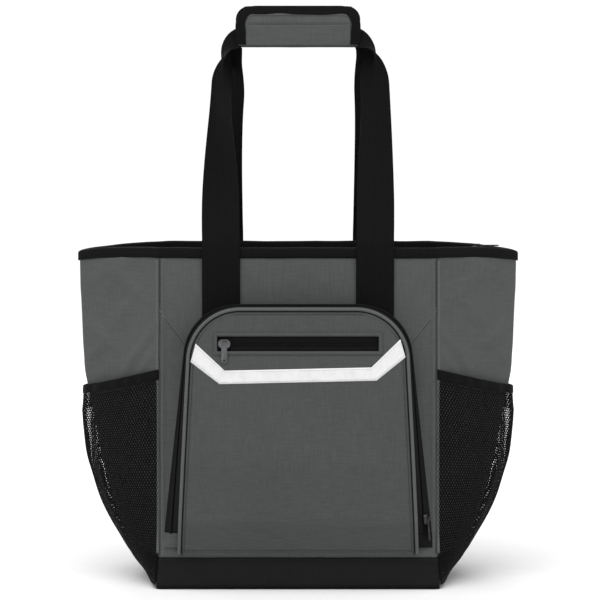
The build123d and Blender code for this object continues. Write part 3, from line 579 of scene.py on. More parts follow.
def outer_flat_wall(side):
    """The outer cloth of the front or back, with its seam edges, creases and slight swell."""
    across = denser_ends(150)[:, None]
    z = levels(PANEL_LOW[2] - SEAM_DROP, WALL_TOP, 130)
    points = flat_wall(side, across, z)
    x = points[..., 0]
    lift = seam_roll(np.abs(np.abs(x) - corner_x(z))) + 0.25 * ripple(x, z, 46.0) + 0.12 * ripple(z, x, 15.0)
    if side < 0:
        for hand in (-1, 1):
            lift += 0.6 * crease(x, z, (hand * 138, 278), (hand * 112, 248), 2.6)
            lift += 0.7 * crease(x, z, (hand * 132, 330), (hand * 108, 296), 7)
            lift += 0.6 * crease(x, z, (hand * 136, 236), (hand * 122, 206), 6)
    else:
        lift += 2.2 * np.exp(-(((z - 150) / 70) ** 2) - (x / 90) ** 2)
        lift += 0.8 * crease(x, z, (-120, 60), (-40, 96), 9) + 0.8 * crease(x, z, (118, 72), (30, 110), 8)
    lift = np.minimum(lift, 1.6 if side < 0 else 3.0) * np.clip((WALL_TOP - z) / 12, 0.1, 1)
    points[..., 1] += side * lift
    return points


def outer_side_wall(side):
    """The outer cloth of one side, with its fold, seam edges and diagonal creases above the mesh pocket."""
    around = denser_ends(170)[:, None]
    z = levels(PANEL_LOW[2] - SEAM_DROP, WALL_TOP, 130)
    points = side_wall(side, around, z)
    reach = fold_x(z) - corner_x(z)
    to_seam = (1 - np.abs(around)) * np.hypot(reach, corner_y(z))
    out = away(points, (side, 0, 0))
    flat = to_seam / 1.2
    lift = (seam_roll(to_seam) + 0.35 * ripple(to_seam * np.sign(around), z, 38.0)
            + 0.12 * ripple(z, to_seam, 13.0))
    for start, end, width, height in (
        ((3, 264), (42, 214), 6.0, 4.2), ((56, 324), (12, 288), 8.0, 2.6), ((86, 270), (52, 240), 6.5, 3.4),
        ((20, 300), (62, 256), 8.0, 2.6), ((26, 336), (90, 302), 9.0, 2.2), ((4, 244), (26, 212), 5.0, 2.4),
        ((62, 246), (92, 222), 6.0, 2.4), ((16, 200), (60, 90), 9.0, 0.8),
    ):
        lift += height * crease(flat, z, start, end, width)
    lift *= np.clip((WALL_TOP - z) / 10, 0.1, 1)
    return points + out * lift[..., None]


def add_walls():
    """The four outer panels and the foam behind each."""
    for name, side in (("front", -1), ("back", 1)):
        outer, out = outer_flat_wall(side), (0, side, 0)
        made = piece(f"shell_{name}", [thick(outer, 0.9, out)], "grey_fabric", "root", [f"outer_{name}_panel"])
        add_foam(f"foam_{name}", flat_wall, side, 60, out)
    for name, side in (("left", -1), ("right", 1)):
        outer, out = outer_side_wall(side), (side, 0, 0)
        made = piece(f"shell_{name}", [thick(outer, 0.9, out)], "grey_fabric", "root", [f"outer_{name}_side"])
        add_foam(f"foam_{name}", side_wall, side, 80, out)


def add_foam(name, wall, side, columns, direction):
    """One foam panel, with the soft dimples of cut foam."""
    low, high = box(name)
    across, z = np.linspace(-1, 1, columns)[:, None], levels(low[2], high[2], 60)
    outer, inner = wall(side, across, z, FOAM[0] + 0.9), wall(side, across, z, FOAM[1])
    dimple = 0.3 * ripple(outer[..., 0] + outer[..., 1], outer[..., 2], 24.0)[..., None]
    out = away(outer, direction)
    made = piece(name + "_pad", [between(outer - out * (0.3 + dimple), inner, direction)],
                 "foam", "root", [name])


def add_lining():
    """The lining: walls with small puckers, and a floor joined to them by a turned edge."""
    z = levels(LINING_LOW[2], LINING_HIGH[2], 90)
    outer = ring(z[0], LINING[0])
    out = away_from_middle(outer)
    around = np.arange(len(outer))[:, None] * 5.0
    pucker = 0.9 * ripple(around, z, 30.0) + 0.4 * ripple(z, around, 11.0)
    pucker = pucker * np.clip((LINING_HIGH[2] - z) / 30, 0, 1)
    inner = outer - out * (LINING[1] - LINING[0] + 0.7 + pucker)[..., None]
    walls = between(outer - out * 0.2, inner, closed=True)
    across, back = np.linspace(-1, 1, 90)[:, None], np.linspace(-1, 1, 60)[None, :]
    x, y = inset_corner(LINING_LOW[2], LINING[1])
    half = inset_fold(LINING_LOW[2], LINING[1]) + (x - inset_fold(LINING_LOW[2], LINING[1])) * np.abs(back)
    px, py = across * half, y * back + 0 * across
    pz = LINING_LOW[2] + 1.0 + 0.35 * ripple(px, py, 34.0) + 2.0 * (np.abs(across) ** 24 + np.abs(back) ** 18)
    floor = np.stack([px, py, pz], -1)
    made = piece("lining", [walls, thick(floor, 0.7)], "lining", "root", ["lining_tub"])
    1.02 * perimeter(LINING)


def perimeter(layer):
    """Length once round the walls at the rim."""
    loop = ring(WALL_TOP, layer[0])[:, 0]
    return float(np.sum(np.linalg.norm(loop - np.roll(loop, 1, axis=0), axis=1)))


def plate(node, count, corner, rise, sag):
    """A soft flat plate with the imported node's size, round corners and soft edges."""
    low, high = box(node)
    middle, half = (low + high) / 2, (high - low) / 2
    x = denser_ends(count)[:, None] * half[0] + 0 * denser_ends(count)[None, :]
    y = denser_ends(count)[None, :] * half[1] + 0 * x
    past = np.maximum(np.abs([x, y]) - (half[:2, None, None] - corner), 0)
    pull = np.max(past, axis=0) / np.maximum(np.hypot(*past), 1e-6)
    both = np.all(past > 0, axis=0)
    x = np.where(both, np.sign(x) * (half[0] - corner + past[0] * pull), x)
    y = np.where(both, np.sign(y) * (half[1] - corner + past[1] * pull), y)
    edge = np.clip(np.minimum(half[0] - np.abs(x), half[1] - np.abs(y)) / 2.5, 0.0, 1.0)
    soften = half[2] * 0.7 * (1 - np.sqrt(np.clip(1 - (1 - edge) ** 2, 0, 1)))
    wave = sag * ripple(x, y, 40.0) * edge
    top = grid(x, y, high[2] - soften + rise * wave)
    bottom = grid(x, y, low[2] + soften * 0.5)
    return between(top, bottom)


def add_base():
    """The base cloth, its floor foam, and the black band round the foot of the walls."""
    made = piece("base_cloth", [plate("base_sheet", 70, 6.0, 0.0, 0.0)], "black_fabric", "root", ["base_sheet"])
    pad = piece("foam_floor_pad", [plate("foam_floor", 60, 5.0, 1.0, 0.25)], "foam", "root", ["foam_floor"])
    z = np.linspace(BAND_LOW[2], BAND_TOP - SEAM_DROP, 30)
    outer = ring(z, 0.0, 121, 91)
    out = away_from_middle(outer)
    rise = (z - z[0])[None, :]
    around = np.arange(len(outer))[:, None] * 2.4
    lift = 0.35 * ripple(around, rise, 30.0) + 0.8 * np.exp(-(((rise - 26.5) / 2.2) ** 2))
    lift -= 0.9 * np.exp(-(((rise - 30.4) / 0.9) ** 2)) + 1.8 * np.exp(-(((rise + 0.6) / 2.0) ** 2))
    skin = outer + out * lift[..., None]
    band = between(skin, outer - out * 0.95, closed=True)
    made = piece("base_band_cloth", [band], "black_fabric", "root", ["base_band"])
    seam_z = BAND_TOP - 5.4
    rows = [threads([(x, side * (corner_y(seam_z) + 1.1), seam_z) for x in (-136, 136)], (0, side, 0))
            for side in (-1, 1)]
    piece("base_seam_stitches", rows, "black_thread_and_painted_shade", "root")


def add_rim():
    """The binding folded over the top of the walls, with its row of stitching."""
    out, inner = BINDING
    top, foot = RIM_HIGH[2], RIM_LOW[2] + 1.2
    section = [(out + 0.1, foot), (out, foot + 3), (out, top - 2.2), (out + 0.5, top - 0.9), (out + 1.8, top - 0.1),
               (3.8, top + 0.3), (inner - 1.8, top - 0.1), (inner - 0.5, top - 0.9), (inner, top - 2.2),
               (inner, foot + 3), (inner - 0.1, foot), (inner - 0.8, foot), (inner - 0.8, top - 2.4),
               (-0.25, top - 2.4), (-0.25, foot)]
    rings = np.stack([ring(WALL_TOP, inset, 81, 81)[:, 0] for inset, _ in section], 1)
    rings[..., 2] += np.array([z for _, z in section])[None, :] - WALL_TOP
    around = np.arange(len(rings))[:, None] * 4.0
    rings[..., 2] += 0.35 * ripple(around, 0 * around, 26.0)
    made = piece("rim_binding_tape", [tube(rings, closed=True)], "binding", "root", ["rim_binding"])
    perimeter(BINDING)
    row = ring(WALL_TOP, out - 0.15, 81, 81)[:, 0] - (0, 0, WALL_TOP - foot - 2.0)
    loop = np.concatenate([row, row[:1]])
    outwards = unit(loop * (1, 1, 0))
    piece("rim_stitches", [threads(loop, outwards, length=2.4)], "black_thread_and_painted_shade", "root")


def add_seams():
    """Stitching and welts beside the corner seams, and welts and dark lines on the slanting seams of the front. The
    welts' paler cloth is a painted highlight and the slanting dark lines are painted shade.
    """
    welts, holes, low_rows = [], [], []
    for side in (-1, 1):
        for hand in (-1, 1):
            z = np.linspace(PANEL_LOW[2] + 2, RIM_LOW[2] - 1, 90)
            corner = np.stack([hand * corner_x(z), side * corner_y(z), z], 1)
            welt = corner + (hand * 2.0, -side * 1.1, 0)
            # Each welt is a raised edge beside the seam, in the paler piping cloth: a painted highlight along the
            # seam's fold.
            welts.append(swept(welt, (hand * 0.7, side * 0.7, 0), oval(1.7, 0.9, 2.2, 10)))
            row = corner + (-hand * 0.9, side * 0.15, 0)
            holes.append(threads(row[z > 284], (0, side, 0), pitch=2.6, length=1.5, radius=0.42))
            low_rows.append(threads(row[z < 286], (0, side, 0), pitch=2.6, length=1.6, radius=0.3))
    piece("corner_highlight_welts", welts, "piping_and_highlight_cloth", "root")
    piece("corner_stitches", holes, "black_thread_and_painted_shade", "root")
    piece("corner_stitches_low", low_rows, "grey_thread_and_painted_shade", "root")
    welts, rows = [], []
    for hand in (-1, 1):
        z = np.linspace(279, 243, 24)
        x = hand * (138.3 - (279 - z) * 0.8)
        line = np.stack([x, -corner_y(z) - 0.5, z], 1)
        # The slanting welts in the paler piping cloth are a painted highlight along each seam.
        welts.append(swept(line + (0, 0, 0.9), (0, -1, 0), oval(0.8, 0.55, 2.2, 8)))
        # A thin darker tube just below each welt: painted shade in the seam's groove.
        rows.append(swept(line + (0, 0.1, -0.5), (0, -1, 0), oval(0.38, 0.4, 2.2, 8)))
    piece("slant_highlight_welts", welts, "piping_and_highlight_cloth", "root")
    piece("slant_groove_shade_lines", rows, "grey_thread_and_painted_shade", "root")


# --- front pocket --------------------------------------------------------------------------------
FACE_HALF_BOTTOM, FACE_HALF_TOP = 117.6, 104.6
FACE_CORNER = 50.0
FACE_DEPTHS = ((36.0, 70.0, 130.0, 292.0), (4.2, 22.0, 31.0, 33.0))  # heights, and distances from the panel
PIPING = 3.6
GUSSET_MARGIN = PIPING - 1
GUSSET_FOOT = FACE_LOW[2] - 4
GUSSET_HALF_BOTTOM, GUSSET_HALF_TOP, GUSSET_TOP = 133.2, 110.4, 288.0
ROOT_SPREAD_BOTTOM, ROOT_SPREAD_TOP = 3.9, -1.2  # how much wider the gusset is where it is sewn to the panel
GUSSET_BACK, GUSSET_FRONT = 82.0, 125.0
GUSSET_START = box("pocket_rear_tape")[0][2]
SLASH_LOW, SLASH_HIGH = box("slash_coil")
SLASH_MIDDLE, SLASH_HALF_WIDTH, SLASH_HALF_HEIGHT = (SLASH_LOW[2] + SLASH_HIGH[2]) / 2, 80.0, 7.4
FACE_CROWN = 3.0
STRIP_TILT = 0.022  # the reflective strip is sewn on slightly askew


def face_y(x, z):
    """Y of the pocket face's outer surface, with its slight crown and creases."""
    depth = np.interp(np.clip(z - 4, 36, 292), *FACE_DEPTHS) * 0.35 + np.interp(z, *FACE_DEPTHS) * 0.3
    depth = depth + np.interp(np.clip(z + 4, 36, 292), *FACE_DEPTHS) * 0.35
    crown = FACE_CROWN * np.exp(-(((z - 128) / 52) ** 2)) * np.clip(1 - (x / 112) ** 2, 0, 1)
    soft = 0.22 * ripple(x, z, 52.0) * np.clip((232 - z) / 40, 0.25, 1)
    return -(corner_y(z) + depth + crown + soft)


def arch_half(z):
    """Half width of the pocket face at a height."""
    corner, top = FACE_CORNER, FACE_HIGH[2]
    slope = atan2(FACE_HALF_BOTTOM - FACE_HALF_TOP, FACE_HIGH[2] - FACE_LOW[2])
    line = FACE_HALF_BOTTOM - (z - FACE_LOW[2]) * np.tan(slope)
    middle = FACE_HALF_BOTTOM - (top - corner - FACE_LOW[2]) * np.tan(slope) - corner / cos(slope)
    arc = middle + np.sqrt(np.clip(corner**2 - np.maximum(z - top + corner, 0) ** 2, 0, None))
    return np.where(z > top - corner + corner * sin(slope), np.minimum(arc, line), line)


def arch(half_bottom, half_top, bottom, top, corner, counts=(90, 30, 36)):
    """Points (x, z) of an arch from its left foot over the top to its right foot."""
    slope = atan2(half_bottom - half_top, top - bottom)
    middle_z = top - corner
    middle_x = half_bottom - (middle_z - bottom) * np.tan(slope) - corner / cos(slope)
    turn = np.linspace(slope, pi / 2, counts[1])
    bend = np.stack([middle_x + corner * np.cos(turn), middle_z + corner * np.sin(turn)], 1)
    side = np.linspace((half_bottom, bottom), bend[0], counts[0])[:-1]
    over = np.linspace(bend[-1], (0, top), counts[2])[1:]
    right = np.concatenate([side, bend, over])
    return np.concatenate([right * (-1, 1), right[-2::-1]])


def face_arch(inset, foot):
    """Points (x, z) of an arch inside the pocket face's edge, from a foot above its lower edge."""
    return arch(FACE_HALF_BOTTOM - inset, FACE_HALF_TOP - inset, FACE_LOW[2] + foot, FACE_HIGH[2] - inset,
                FACE_CORNER - inset, (110, 36, 44))


def on_face(flat, behind):
    """A line of points (x, z), put a distance behind the pocket face's outer surface."""
    x, z = flat.T
    return np.stack([x, face_y(x, z) + behind, z], 1)


def gusset(y, bottom):
    """The gusset's outline at a distance from the middle of the bag; y is a number or one for each point."""
    ends = []
    for half_low, half_high, top in (
        (GUSSET_HALF_BOTTOM, GUSSET_HALF_TOP, GUSSET_TOP),
        (FACE_HALF_BOTTOM + GUSSET_MARGIN, FACE_HALF_TOP + GUSSET_MARGIN, FACE_HIGH[2] + GUSSET_MARGIN),
    ):
        at_foot = half_low - (half_low - half_high) * (bottom - GUSSET_FOOT) / (top - GUSSET_FOOT)
        ends.append(arch(at_foot, half_high, bottom, top, FACE_CORNER + PIPING))
    share = ((-np.asarray(y, float) - GUSSET_BACK) / (GUSSET_FRONT - GUSSET_BACK)) * np.ones(len(ends[0]))
    flat = ends[0] + (ends[1] - ends[0]) * share[:, None]
    return np.stack([flat[:, 0], np.asarray(y) * np.ones(len(flat)), flat[:, 1]], 1)


def zip_y(z):
    """Y of the pocket zip's line."""
    return -(96.5 + 5.0 * (z - 58) / 230)


def behind_face(z):
    """Y of the gusset's front edge, behind the piping."""
    return np.interp(z, *FACE_DEPTHS) * -1 - corner_y(z) + PIPING + 0.6


def gusset_root(bottom):
    """The line where the gusset is sewn to the panel, in front of the straps where it crosses them."""
    line = gusset(-GUSSET_BACK, bottom)
    x, z = line[:, 0], line[:, 2]
    over_strap = smoothstep(np.abs(x), 50, 57) * (1 - smoothstep(np.abs(x), 97, 104)) * smoothstep(z, 225, 250)
    line[:, 1] = -corner_y(z) - 0.5 - over_strap * (STRAP_Y + 0.9 - corner_y(z))
    spread = ROOT_SPREAD_BOTTOM + (ROOT_SPREAD_TOP - ROOT_SPREAD_BOTTOM) * (z - GUSSET_FOOT) / (
        GUSSET_TOP - GUSSET_FOOT)
    return line + unit(gusset_out(line)) * spread[:, None]


def gusset_rim(bottom):
    """The line where the gusset is sewn to the piping."""
    line = gusset(-GUSSET_FRONT, bottom)
    line[:, 1] = behind_face(line[:, 2])
    return line


def gusset_band(start, end, swell=0.0, columns=9):
    """A grid over the gusset between two of its lines, swelling outwards a little in the middle."""
    out = unit(gusset_out(start))
    shares = np.linspace(0, 1, columns)
    return np.stack([start + (end - start) * share + out * swell * sin(pi * share) for share in shares], 1)


def coil_teeth(path, out, side, reach=2.0, pitch=1.75, radius=0.78):
    """One side of a coil: a loop at every pitch, lying across the run."""
    points, out = stepped(path, out, pitch)
    _, across, up = frames(points, out)
    step = np.linspace(-0.5, 0.5, 2)[None, :, None] * reach
    turn = np.linspace(0, 2 * pi, 8, endpoint=False)[None, None, :]
    run = unit(np.gradient(points, axis=0))
    middle = points + across * side * (reach / 2 + 0.15)
    centre = middle[:, None, None] + across[:, None, None] * step[..., None]
    rings = centre + radius * (run[:, None, None] * np.cos(turn)[..., None] * 0.8
                               + up[:, None, None] * np.sin(turn)[..., None])
    one = tube(rings[0])[1]
    faces = [[v + k * 16 for v in face] for k in range(len(rings)) for face in one]
    return rings.reshape(-1, 3), faces


def add_face():
    """The pocket face: a padded panel with a rolled edge, its slash window, stitching and piping."""
    foot, sill, lintel = FACE_LOW[2] - 1.5, SLASH_MIDDLE - SLASH_HALF_HEIGHT, SLASH_MIDDLE + SLASH_HALF_HEIGHT
    rows = np.concatenate([
        foot + (sill - foot) * (1 - np.cos(np.linspace(0, pi, 100))) / 2,
        np.linspace(sill, lintel, 9)[1:],
        lintel + (FACE_HIGH[2] - 0.05 - lintel) * np.sin(np.linspace(0, pi / 2, 26))[1:],
    ])
    half = arch_half(rows)
    inner = np.minimum(SLASH_HALF_WIDTH, half * 0.8)
    left = np.linspace(0, 1, 19)[:, None]
    x = np.concatenate([-half + (half - inner) * left, -inner + 2 * inner * np.linspace(0, 1, 91)[1:, None],
                        inner + (half - inner) * left[1:]])
    z = rows[None, :] + 0 * x
    edge = np.minimum(half[None, :] - np.abs(x), FACE_HIGH[2] - z) / 6
    roll = 1.7 * np.clip(1 - edge, 0, 1) ** 2
    window = np.maximum(np.abs(x) - SLASH_HALF_WIDTH, np.abs(z - SLASH_MIDDLE) - SLASH_HALF_HEIGHT)
    lip = 1.0 * np.exp(-(((window - 1.6) / 1.3) ** 2)) - 0.4 * np.exp(-(((window - 4.2) / 0.9) ** 2))
    hem = 2.2 * np.exp(-(((z - FACE_LOW[2]) / 3.0) ** 2))
    seam = -0.5 * np.exp(-(((edge * 6 - 3.2) / 0.8) ** 2))
    y = face_y(x, z) + roll + hem - lip - seam
    outer = np.stack([x, y, z], -1)
    cells = (np.abs((x[:-1, :-1] + x[1:, 1:]) / 2) < SLASH_HALF_WIDTH) & (
        np.abs((z[:-1, :-1] + z[1:, 1:]) / 2 - SLASH_MIDDLE) < SLASH_HALF_HEIGHT)
    back = np.stack([x, y + 2.5 - 0.8 * np.clip(1 - edge, 0, 1), z], -1)
    # The face's cloth is a darker copy of the walls' grey cloth: painted shade.
    made = piece("pocket_face_panel", [between(outer, back, (0, -1, 0), holes=cells)],
                 "face_fabric_painted_shade", "pocket_front", ["pocket_face"])

    path = on_face(face_arch(-PIPING / 2, 0), 1.2)
    cover = swept(path, (0, -1, 0), oval(1.75, 1.7, 2.0, 12))
    flange = swept(path + (0, 2.0, 0), (0, -1, 0), oval(0.7, 1.6, 3.0, 8))
    piece("pocket_piping_cord", [cover, flange], "piping_and_highlight_cloth", "pocket_front", ["pocket_piping"])

    # A thin black tube just inside the piping: painted shade in the seam groove between the piping and the face.
    groove = swept(on_face(face_arch(0.5, 1), 0.75), (0, -1, 0), oval(0.62, 0.5, 2.0, 8))
    piece("piping_seam_shade_line", [groove], "black_thread_and_painted_shade", "pocket_front")

    across, up = SLASH_HALF_WIDTH + 4.2, SLASH_HALF_HEIGHT + 4.2
    corners = [(-across, -up), (across, -up), (across, up), (-across, up), (-across, -up)]
    window_row = on_face(evenly([(x, z + SLASH_MIDDLE) for x, z in corners], 2.0), 0.1)
    foot_row = on_face(np.stack([np.linspace(-114, 114, 60), np.full(60, FACE_LOW[2] + 4.0)], 1), 0.2)
    rows = [threads(on_face(face_arch(3.4, 2), 0.15), (0, -1, 0), pitch=3.2, length=2.3),
            threads(window_row, (0, -1, 0), pitch=3.0, length=2.1, radius=0.26), threads(foot_row, (0, -1, 0))]
    piece("face_stitches", rows, "grey_thread_and_painted_shade", "pocket_front")


def add_gusset():
    """The pocket's gusset: two zip tapes with their coils, and the end tabs below them."""
    zip_line = gusset(zip_y(gusset(-100.0, GUSSET_START)[:, 2]), GUSSET_START)
    for name, body, start, end in (
        ("rear", "root", gusset_root(GUSSET_START), zip_line + (0, -0.2, 0)),
        ("front", "pocket_front", zip_line + (0, 0.2, 0), gusset_rim(GUSSET_START)),
    ):
        outer = gusset_band(start, end, 0.4)
        made = piece(f"pocket_{name}_strip", [thick(outer, 1.1, outer * (1, 0, 0))], "zip_tape", body,
                     [f"pocket_{name}_tape"])
        out = unit(gusset_out(zip_line))
        path = zip_line + out * 0.85
        side = 1 if (np.cross(path[1] - path[0], out[0])[1] > 0) == (name == "rear") else -1
        piece(f"pocket_{name}_teeth", [coil_teeth(path, out, side)], "zip_coil", body, [f"pocket_{name}_coil"])
        row = outer[:, 3 if name == "rear" else 5]
        piece(f"pocket_{name}_strip_stitches", [threads(row + out * 0.1, out, radius=0.25)], "black_thread_and_painted_shade", body)
    for name, hand in (("left", -1), ("right", 1)):
        low, high = box(f"pocket_end_tab_{name}")
        z = np.linspace(low[2] + 0.3, high[2], 20)
        drop = (z - GUSSET_FOOT) / (GUSSET_TOP - GUSSET_FOOT)
        rear_x = GUSSET_HALF_BOTTOM - (GUSSET_HALF_BOTTOM - GUSSET_HALF_TOP) * drop
        ahead_x = FACE_HALF_BOTTOM + GUSSET_MARGIN - (FACE_HALF_BOTTOM - FACE_HALF_TOP) * drop
        rise = np.clip((z - low[2]) / (GUSSET_START - low[2]), 0, 1.15)
        ridge_x = rear_x + (ahead_x - rear_x) * (-zip_y(z) - GUSSET_BACK) / (GUSSET_FRONT - GUSSET_BACK)
        ridge_y = -corner_y(z) - 2.0 + (zip_y(z) + corner_y(z) + (1.2 if hand < 0 else 3.0)) * rise**0.85
        points = [np.stack([hand * x, y, z], 1) for x, y in (
            (rear_x + ROOT_SPREAD_BOTTOM, -corner_y(z) - 0.6), (ridge_x, ridge_y),
            (ahead_x, behind_face(z) + 0.6))]
        bend = 2 * points[1] - (points[0] + points[2]) / 2
        outer = np.stack([points[0] * (1 - t) ** 2 + bend * 2 * t * (1 - t) + points[2] * t * t
                          for t in np.linspace(0, 1, 18)])
        outer[..., 1] -= 0.25 * ripple(outer[..., 0], outer[..., 2], 9.0)
        blended = ("root", "pocket_front", (0, -0.091, 0.05), (0, -0.106, 0.05))
        look = "grey_fabric" if hand < 0 else "zip_tape"
        tab = piece(f"pocket_tab_{name}", [thick(outer, 1.2, (hand, -1, 0))], look, None,
                    [f"pocket_end_tab_{name}"], blended=blended)
        if hand < 0:
            rows = [threads(outer[1:-1, k] + (0, -0.1, 0), (0, -1, 0), pitch=2.6, length=1.8, radius=0.24)
                    for k in (-2, -5)]
            piece("pocket_tab_stitches", rows, "grey_thread_and_painted_shade", None, blended=blended)


def gusset_out(line):
    """Directions out of the gusset along a line that follows its outline."""
    run = np.gradient(line, axis=0)
    out = np.stack([run[:, 2], 0 * run[:, 0], -run[:, 0]], 1)
    return out * (1 if float(np.sum(out[:, 0] * line[:, 0])) > 0 else -1)


def add_slash():
    """The slash zip's tape and coil, its pouch, and the reflective strip."""
    low, high = box("slash_tape")
    x, z = np.linspace(low[0], high[0], 70)[:, None], levels(low[2], high[2], 12)
    front = grid(x, low[1] + 0.05 * ripple(x, z, 20.0) + 0.06, z)
    tape = piece("slash_tape_strip", [thick(front, 0.7, (0, -1, 0))], "zip_tape", "pocket_front",
                 ["slash_tape"])
    path = [(x, SLASH_LOW[1] + 1.0, SLASH_MIDDLE) for x in (SLASH_LOW[0] + 1, SLASH_HIGH[0] - 1)]
    teeth = [coil_teeth(path, (0, -1, 0), side, radius=0.7) for side in (-1, 1)]
    piece("slash_teeth", teeth, "zip_coil", "pocket_front", ["slash_coil"])
    low, high = box("slash_pouch")
    x, z = denser_ends(60)[:, None] * high[0], levels(low[2], high[2], 40)
    swell = 0.5 * (1 + ripple(x, z, 40.0)) * np.clip((high[2] - z) / 20, 0, 1) * (1 - (x / high[0]) ** 4)
    back = grid(x, high[1] + swell, z)
    bag = between(back, grid(x, low[1], z), (0, 1, 0))
    pouch = piece("slash_pouch_bag", [bag], "black_fabric", "pocket_front", ["slash_pouch"])

    low, high = box("reflective_strip")
    lower = [(-106.4, 232.1), (-77.8, 209.6), (77.8, 209.6), (106.4, 232.1)]
    upper = [(-101.3, 250.2), (-72.7, 222.9), (72.7, 222.9), (101.3, 250.2)]
    steps = np.concatenate([np.linspace(0, 1, 16), np.linspace(1, 2, 60)[1:], np.linspace(2, 3, 16)[1:]])
    edge = [np.stack([np.interp(steps, range(4), column) for column in zip(*side)], 1)
            for side in (lower, upper)]
    flat = np.stack([edge[0] + (edge[1] - edge[0]) * share for share in np.linspace(0, 1, 9)], 1)
    flat[..., 1] += STRIP_TILT * (flat[..., 0] + 77.8)
    proud = 0.45 - 0.18 * (np.abs(np.linspace(-1, 1, 9)) > 0.99)[None, :]
    front = np.stack([flat[..., 0], face_y(flat[..., 0], flat[..., 1]) - proud, flat[..., 1]], -1)
    strip = piece("reflective_tape", [thick(front, 0.5, (0, -1, 0))], "reflective", "pocket_front",
                  ["reflective_strip"])
    rows = [front[:, k] - (0, 0.05, 0) for k in (1, 7)]
    piece("strip_stitches", [threads(row, (0, -1, 0), pitch=3.0, length=2.1, radius=0.2) for row in rows],
          "pale_thread", "pocket_front")


# --- mesh side pockets ---------------------------------------------------------------------------
MESH_FOOT, MESH_TOP, ELASTIC_TOP = 5.0, 211.7, 221.7
MESH_GAP, MESH_BULGE_MIDDLE, MESH_BULGE_FOLD, MESH_DROOP = 0.8, 13.0, 7.0, 22.0


def mesh_wall(side, around, z, outwards=0.0):
    """Points of a mesh pocket: it bulges on both sides of the fold, and its top hangs lower at the fold."""
    rise = z / MESH_TOP
    swell = np.sin(pi * np.minimum(1.0, 0.1 + 0.75 * rise))
    base = side_wall(side, around, z)
    base[..., 2] += droop(around, z)
    reach, depth = fold_x(z) - corner_x(z), corner_y(z)
    length, far = np.hypot(reach, depth), np.abs(around)
    middle = MESH_BULGE_MIDDLE * swell * np.clip(1 - ((far - 0.55) / 0.45) ** 2, 0, 1) * np.clip(far / 0.3, 0, 1)
    fold = MESH_BULGE_FOLD * swell * np.clip(1 - (far / 0.45) ** 2, 0, 1) * np.clip((1.05 - rise) * 7, 0, 1)
    fold = fold + drawn_in(z) * (1 - far) + 3.5 * np.exp(-(((z - 24) / 16) ** 2)) * np.clip(1 - far, 0, 1)
    gathers = 0.7 * np.sin(around * 34 + 1.3 * np.sin(around * 9)) * np.clip(rise, 0, 1) ** 5
    sag = 1.1 * ripple(around * 90, z, 30.0) * swell * np.clip((1 - far) * 6, 0, 1)
    out = MESH_GAP + outwards + middle + (gathers + sag) * np.clip((1 - far) * 8, 0, 1)
    base[..., 0] += side * (out * depth / length + fold)
    base[..., 1] += np.sign(around) * out * reach / length * np.clip(far / 0.12, 0, 1)
    tilt = MESH_DROOP / (fold_x(z) - PANEL_HALF_WIDTH + 1) * rise**2
    base[..., 2] -= (side * base[..., 0] - corner_x(z)) * tilt
    return base


def add_mesh_pockets():
    """Each mesh pocket is a real net of diamond holes, with a turned foot and a folded elastic edge."""
    columns, rows = 74, 76
    for name, side in (("left", -1), ("right", 1)):
        points, faces, index = [], [], {}

        def corner(i, j):
            """The index of a point of the net, at half steps across and whole steps up."""
            if (i, j) not in index:
                index[(i, j)] = len(points)
                points.append((i, j))
            return index[(i, j)]

        tiles = [(2 * i + 1 + j % 2, j) for j in range(1, rows) for i in range(columns - j % 2)]
        for i, j in tiles:
            outer = [corner(i - 1, j), corner(i, j - 1), corner(i + 1, j), corner(i, j + 1)]
            hole = []
            for di, dj in ((-0.7, 0), (0, -0.66), (0.7, 0), (0, 0.66)):
                hole.append(len(points))
                points.append((i + di, j + dj))
            faces += [[outer[k], outer[(k + 1) % 4], hole[(k + 1) % 4], hole[k]] for k in range(4)]
        flat = np.array(points, float)
        around = np.clip(flat[:, 0] / columns - 1, -1, 1) * 0.996
        z = MESH_FOOT + (MESH_TOP - MESH_FOOT) * flat[:, 1] / rows
        outer = mesh_wall(side, around, z, 0.55)
        inner = mesh_wall(side, around, z, 0.0)
        count = len(outer)
        turned = side < 0
        all_faces = []
        for face in faces:
            front = face if turned else face[::-1]
            all_faces.append(front)
            all_faces.append([v + count for v in front[::-1]])
            a, b = (front[2], front[3]) if turned else (front[0], front[1])
            all_faces.append([b, a, a + count, b + count])
        net = (np.concatenate([outer, inner]), all_faces)
        edge_around = np.linspace(-1, 1, 120)[:, None]
        foot_z = levels(MESH_FOOT - 0.5, MESH_FOOT + 5.5, 6)
        foot = mesh_wall(side, edge_around, foot_z, 0.9)
        hem = thick(foot, 1.0, (side, 0, 0))
        made = piece(f"mesh_net_{name}", [net], "mesh", "root", [f"mesh_pocket_{name}"])
        piece(f"mesh_hem_{name}", [hem], "elastic", "root")
        shape = mesh_wall(side, np.linspace(-1, 1, 90)[:, None], levels(MESH_FOOT, MESH_TOP, 60))
        band_z = levels(MESH_TOP - 0.6, ELASTIC_TOP, 12)
        middle = (MESH_TOP + ELASTIC_TOP) / 2
        crown = 0.9 * np.sqrt(np.clip(1 - ((band_z - middle) / 5.7) ** 2, 0.0, 1))
        band = mesh_wall(side, np.linspace(-1, 1, 150)[:, None], band_z, 0.7 + crown)
        back = mesh_wall(side, np.linspace(-1, 1, 150)[:, None], band_z, 0.2 - 0.4 * crown)
        elastic = piece(f"mesh_elastic_band_{name}", [between(band, back, (side, 0, 0))], "elastic",
                        "root", [f"mesh_elastic_{name}"])
        row = mesh_wall(side, np.linspace(-0.99, 0.99, 160), np.full(160, MESH_TOP + 1.6), 1.35)
        out = np.stack([np.full(160, side * 0.7), np.sign(np.linspace(-1, 1, 160)) * 0.7, np.zeros(160)], 1)
        piece(f"elastic_stitches_{name}", [threads(row, out, pitch=3.2, length=2.3, radius=0.26)], "black_thread_and_painted_shade",
              "root")


# --- top closure ---------------------------------------------------------------------------------
FLAP_EDGE = 8.0  # distance of a flap's sewn edge from the zip's line


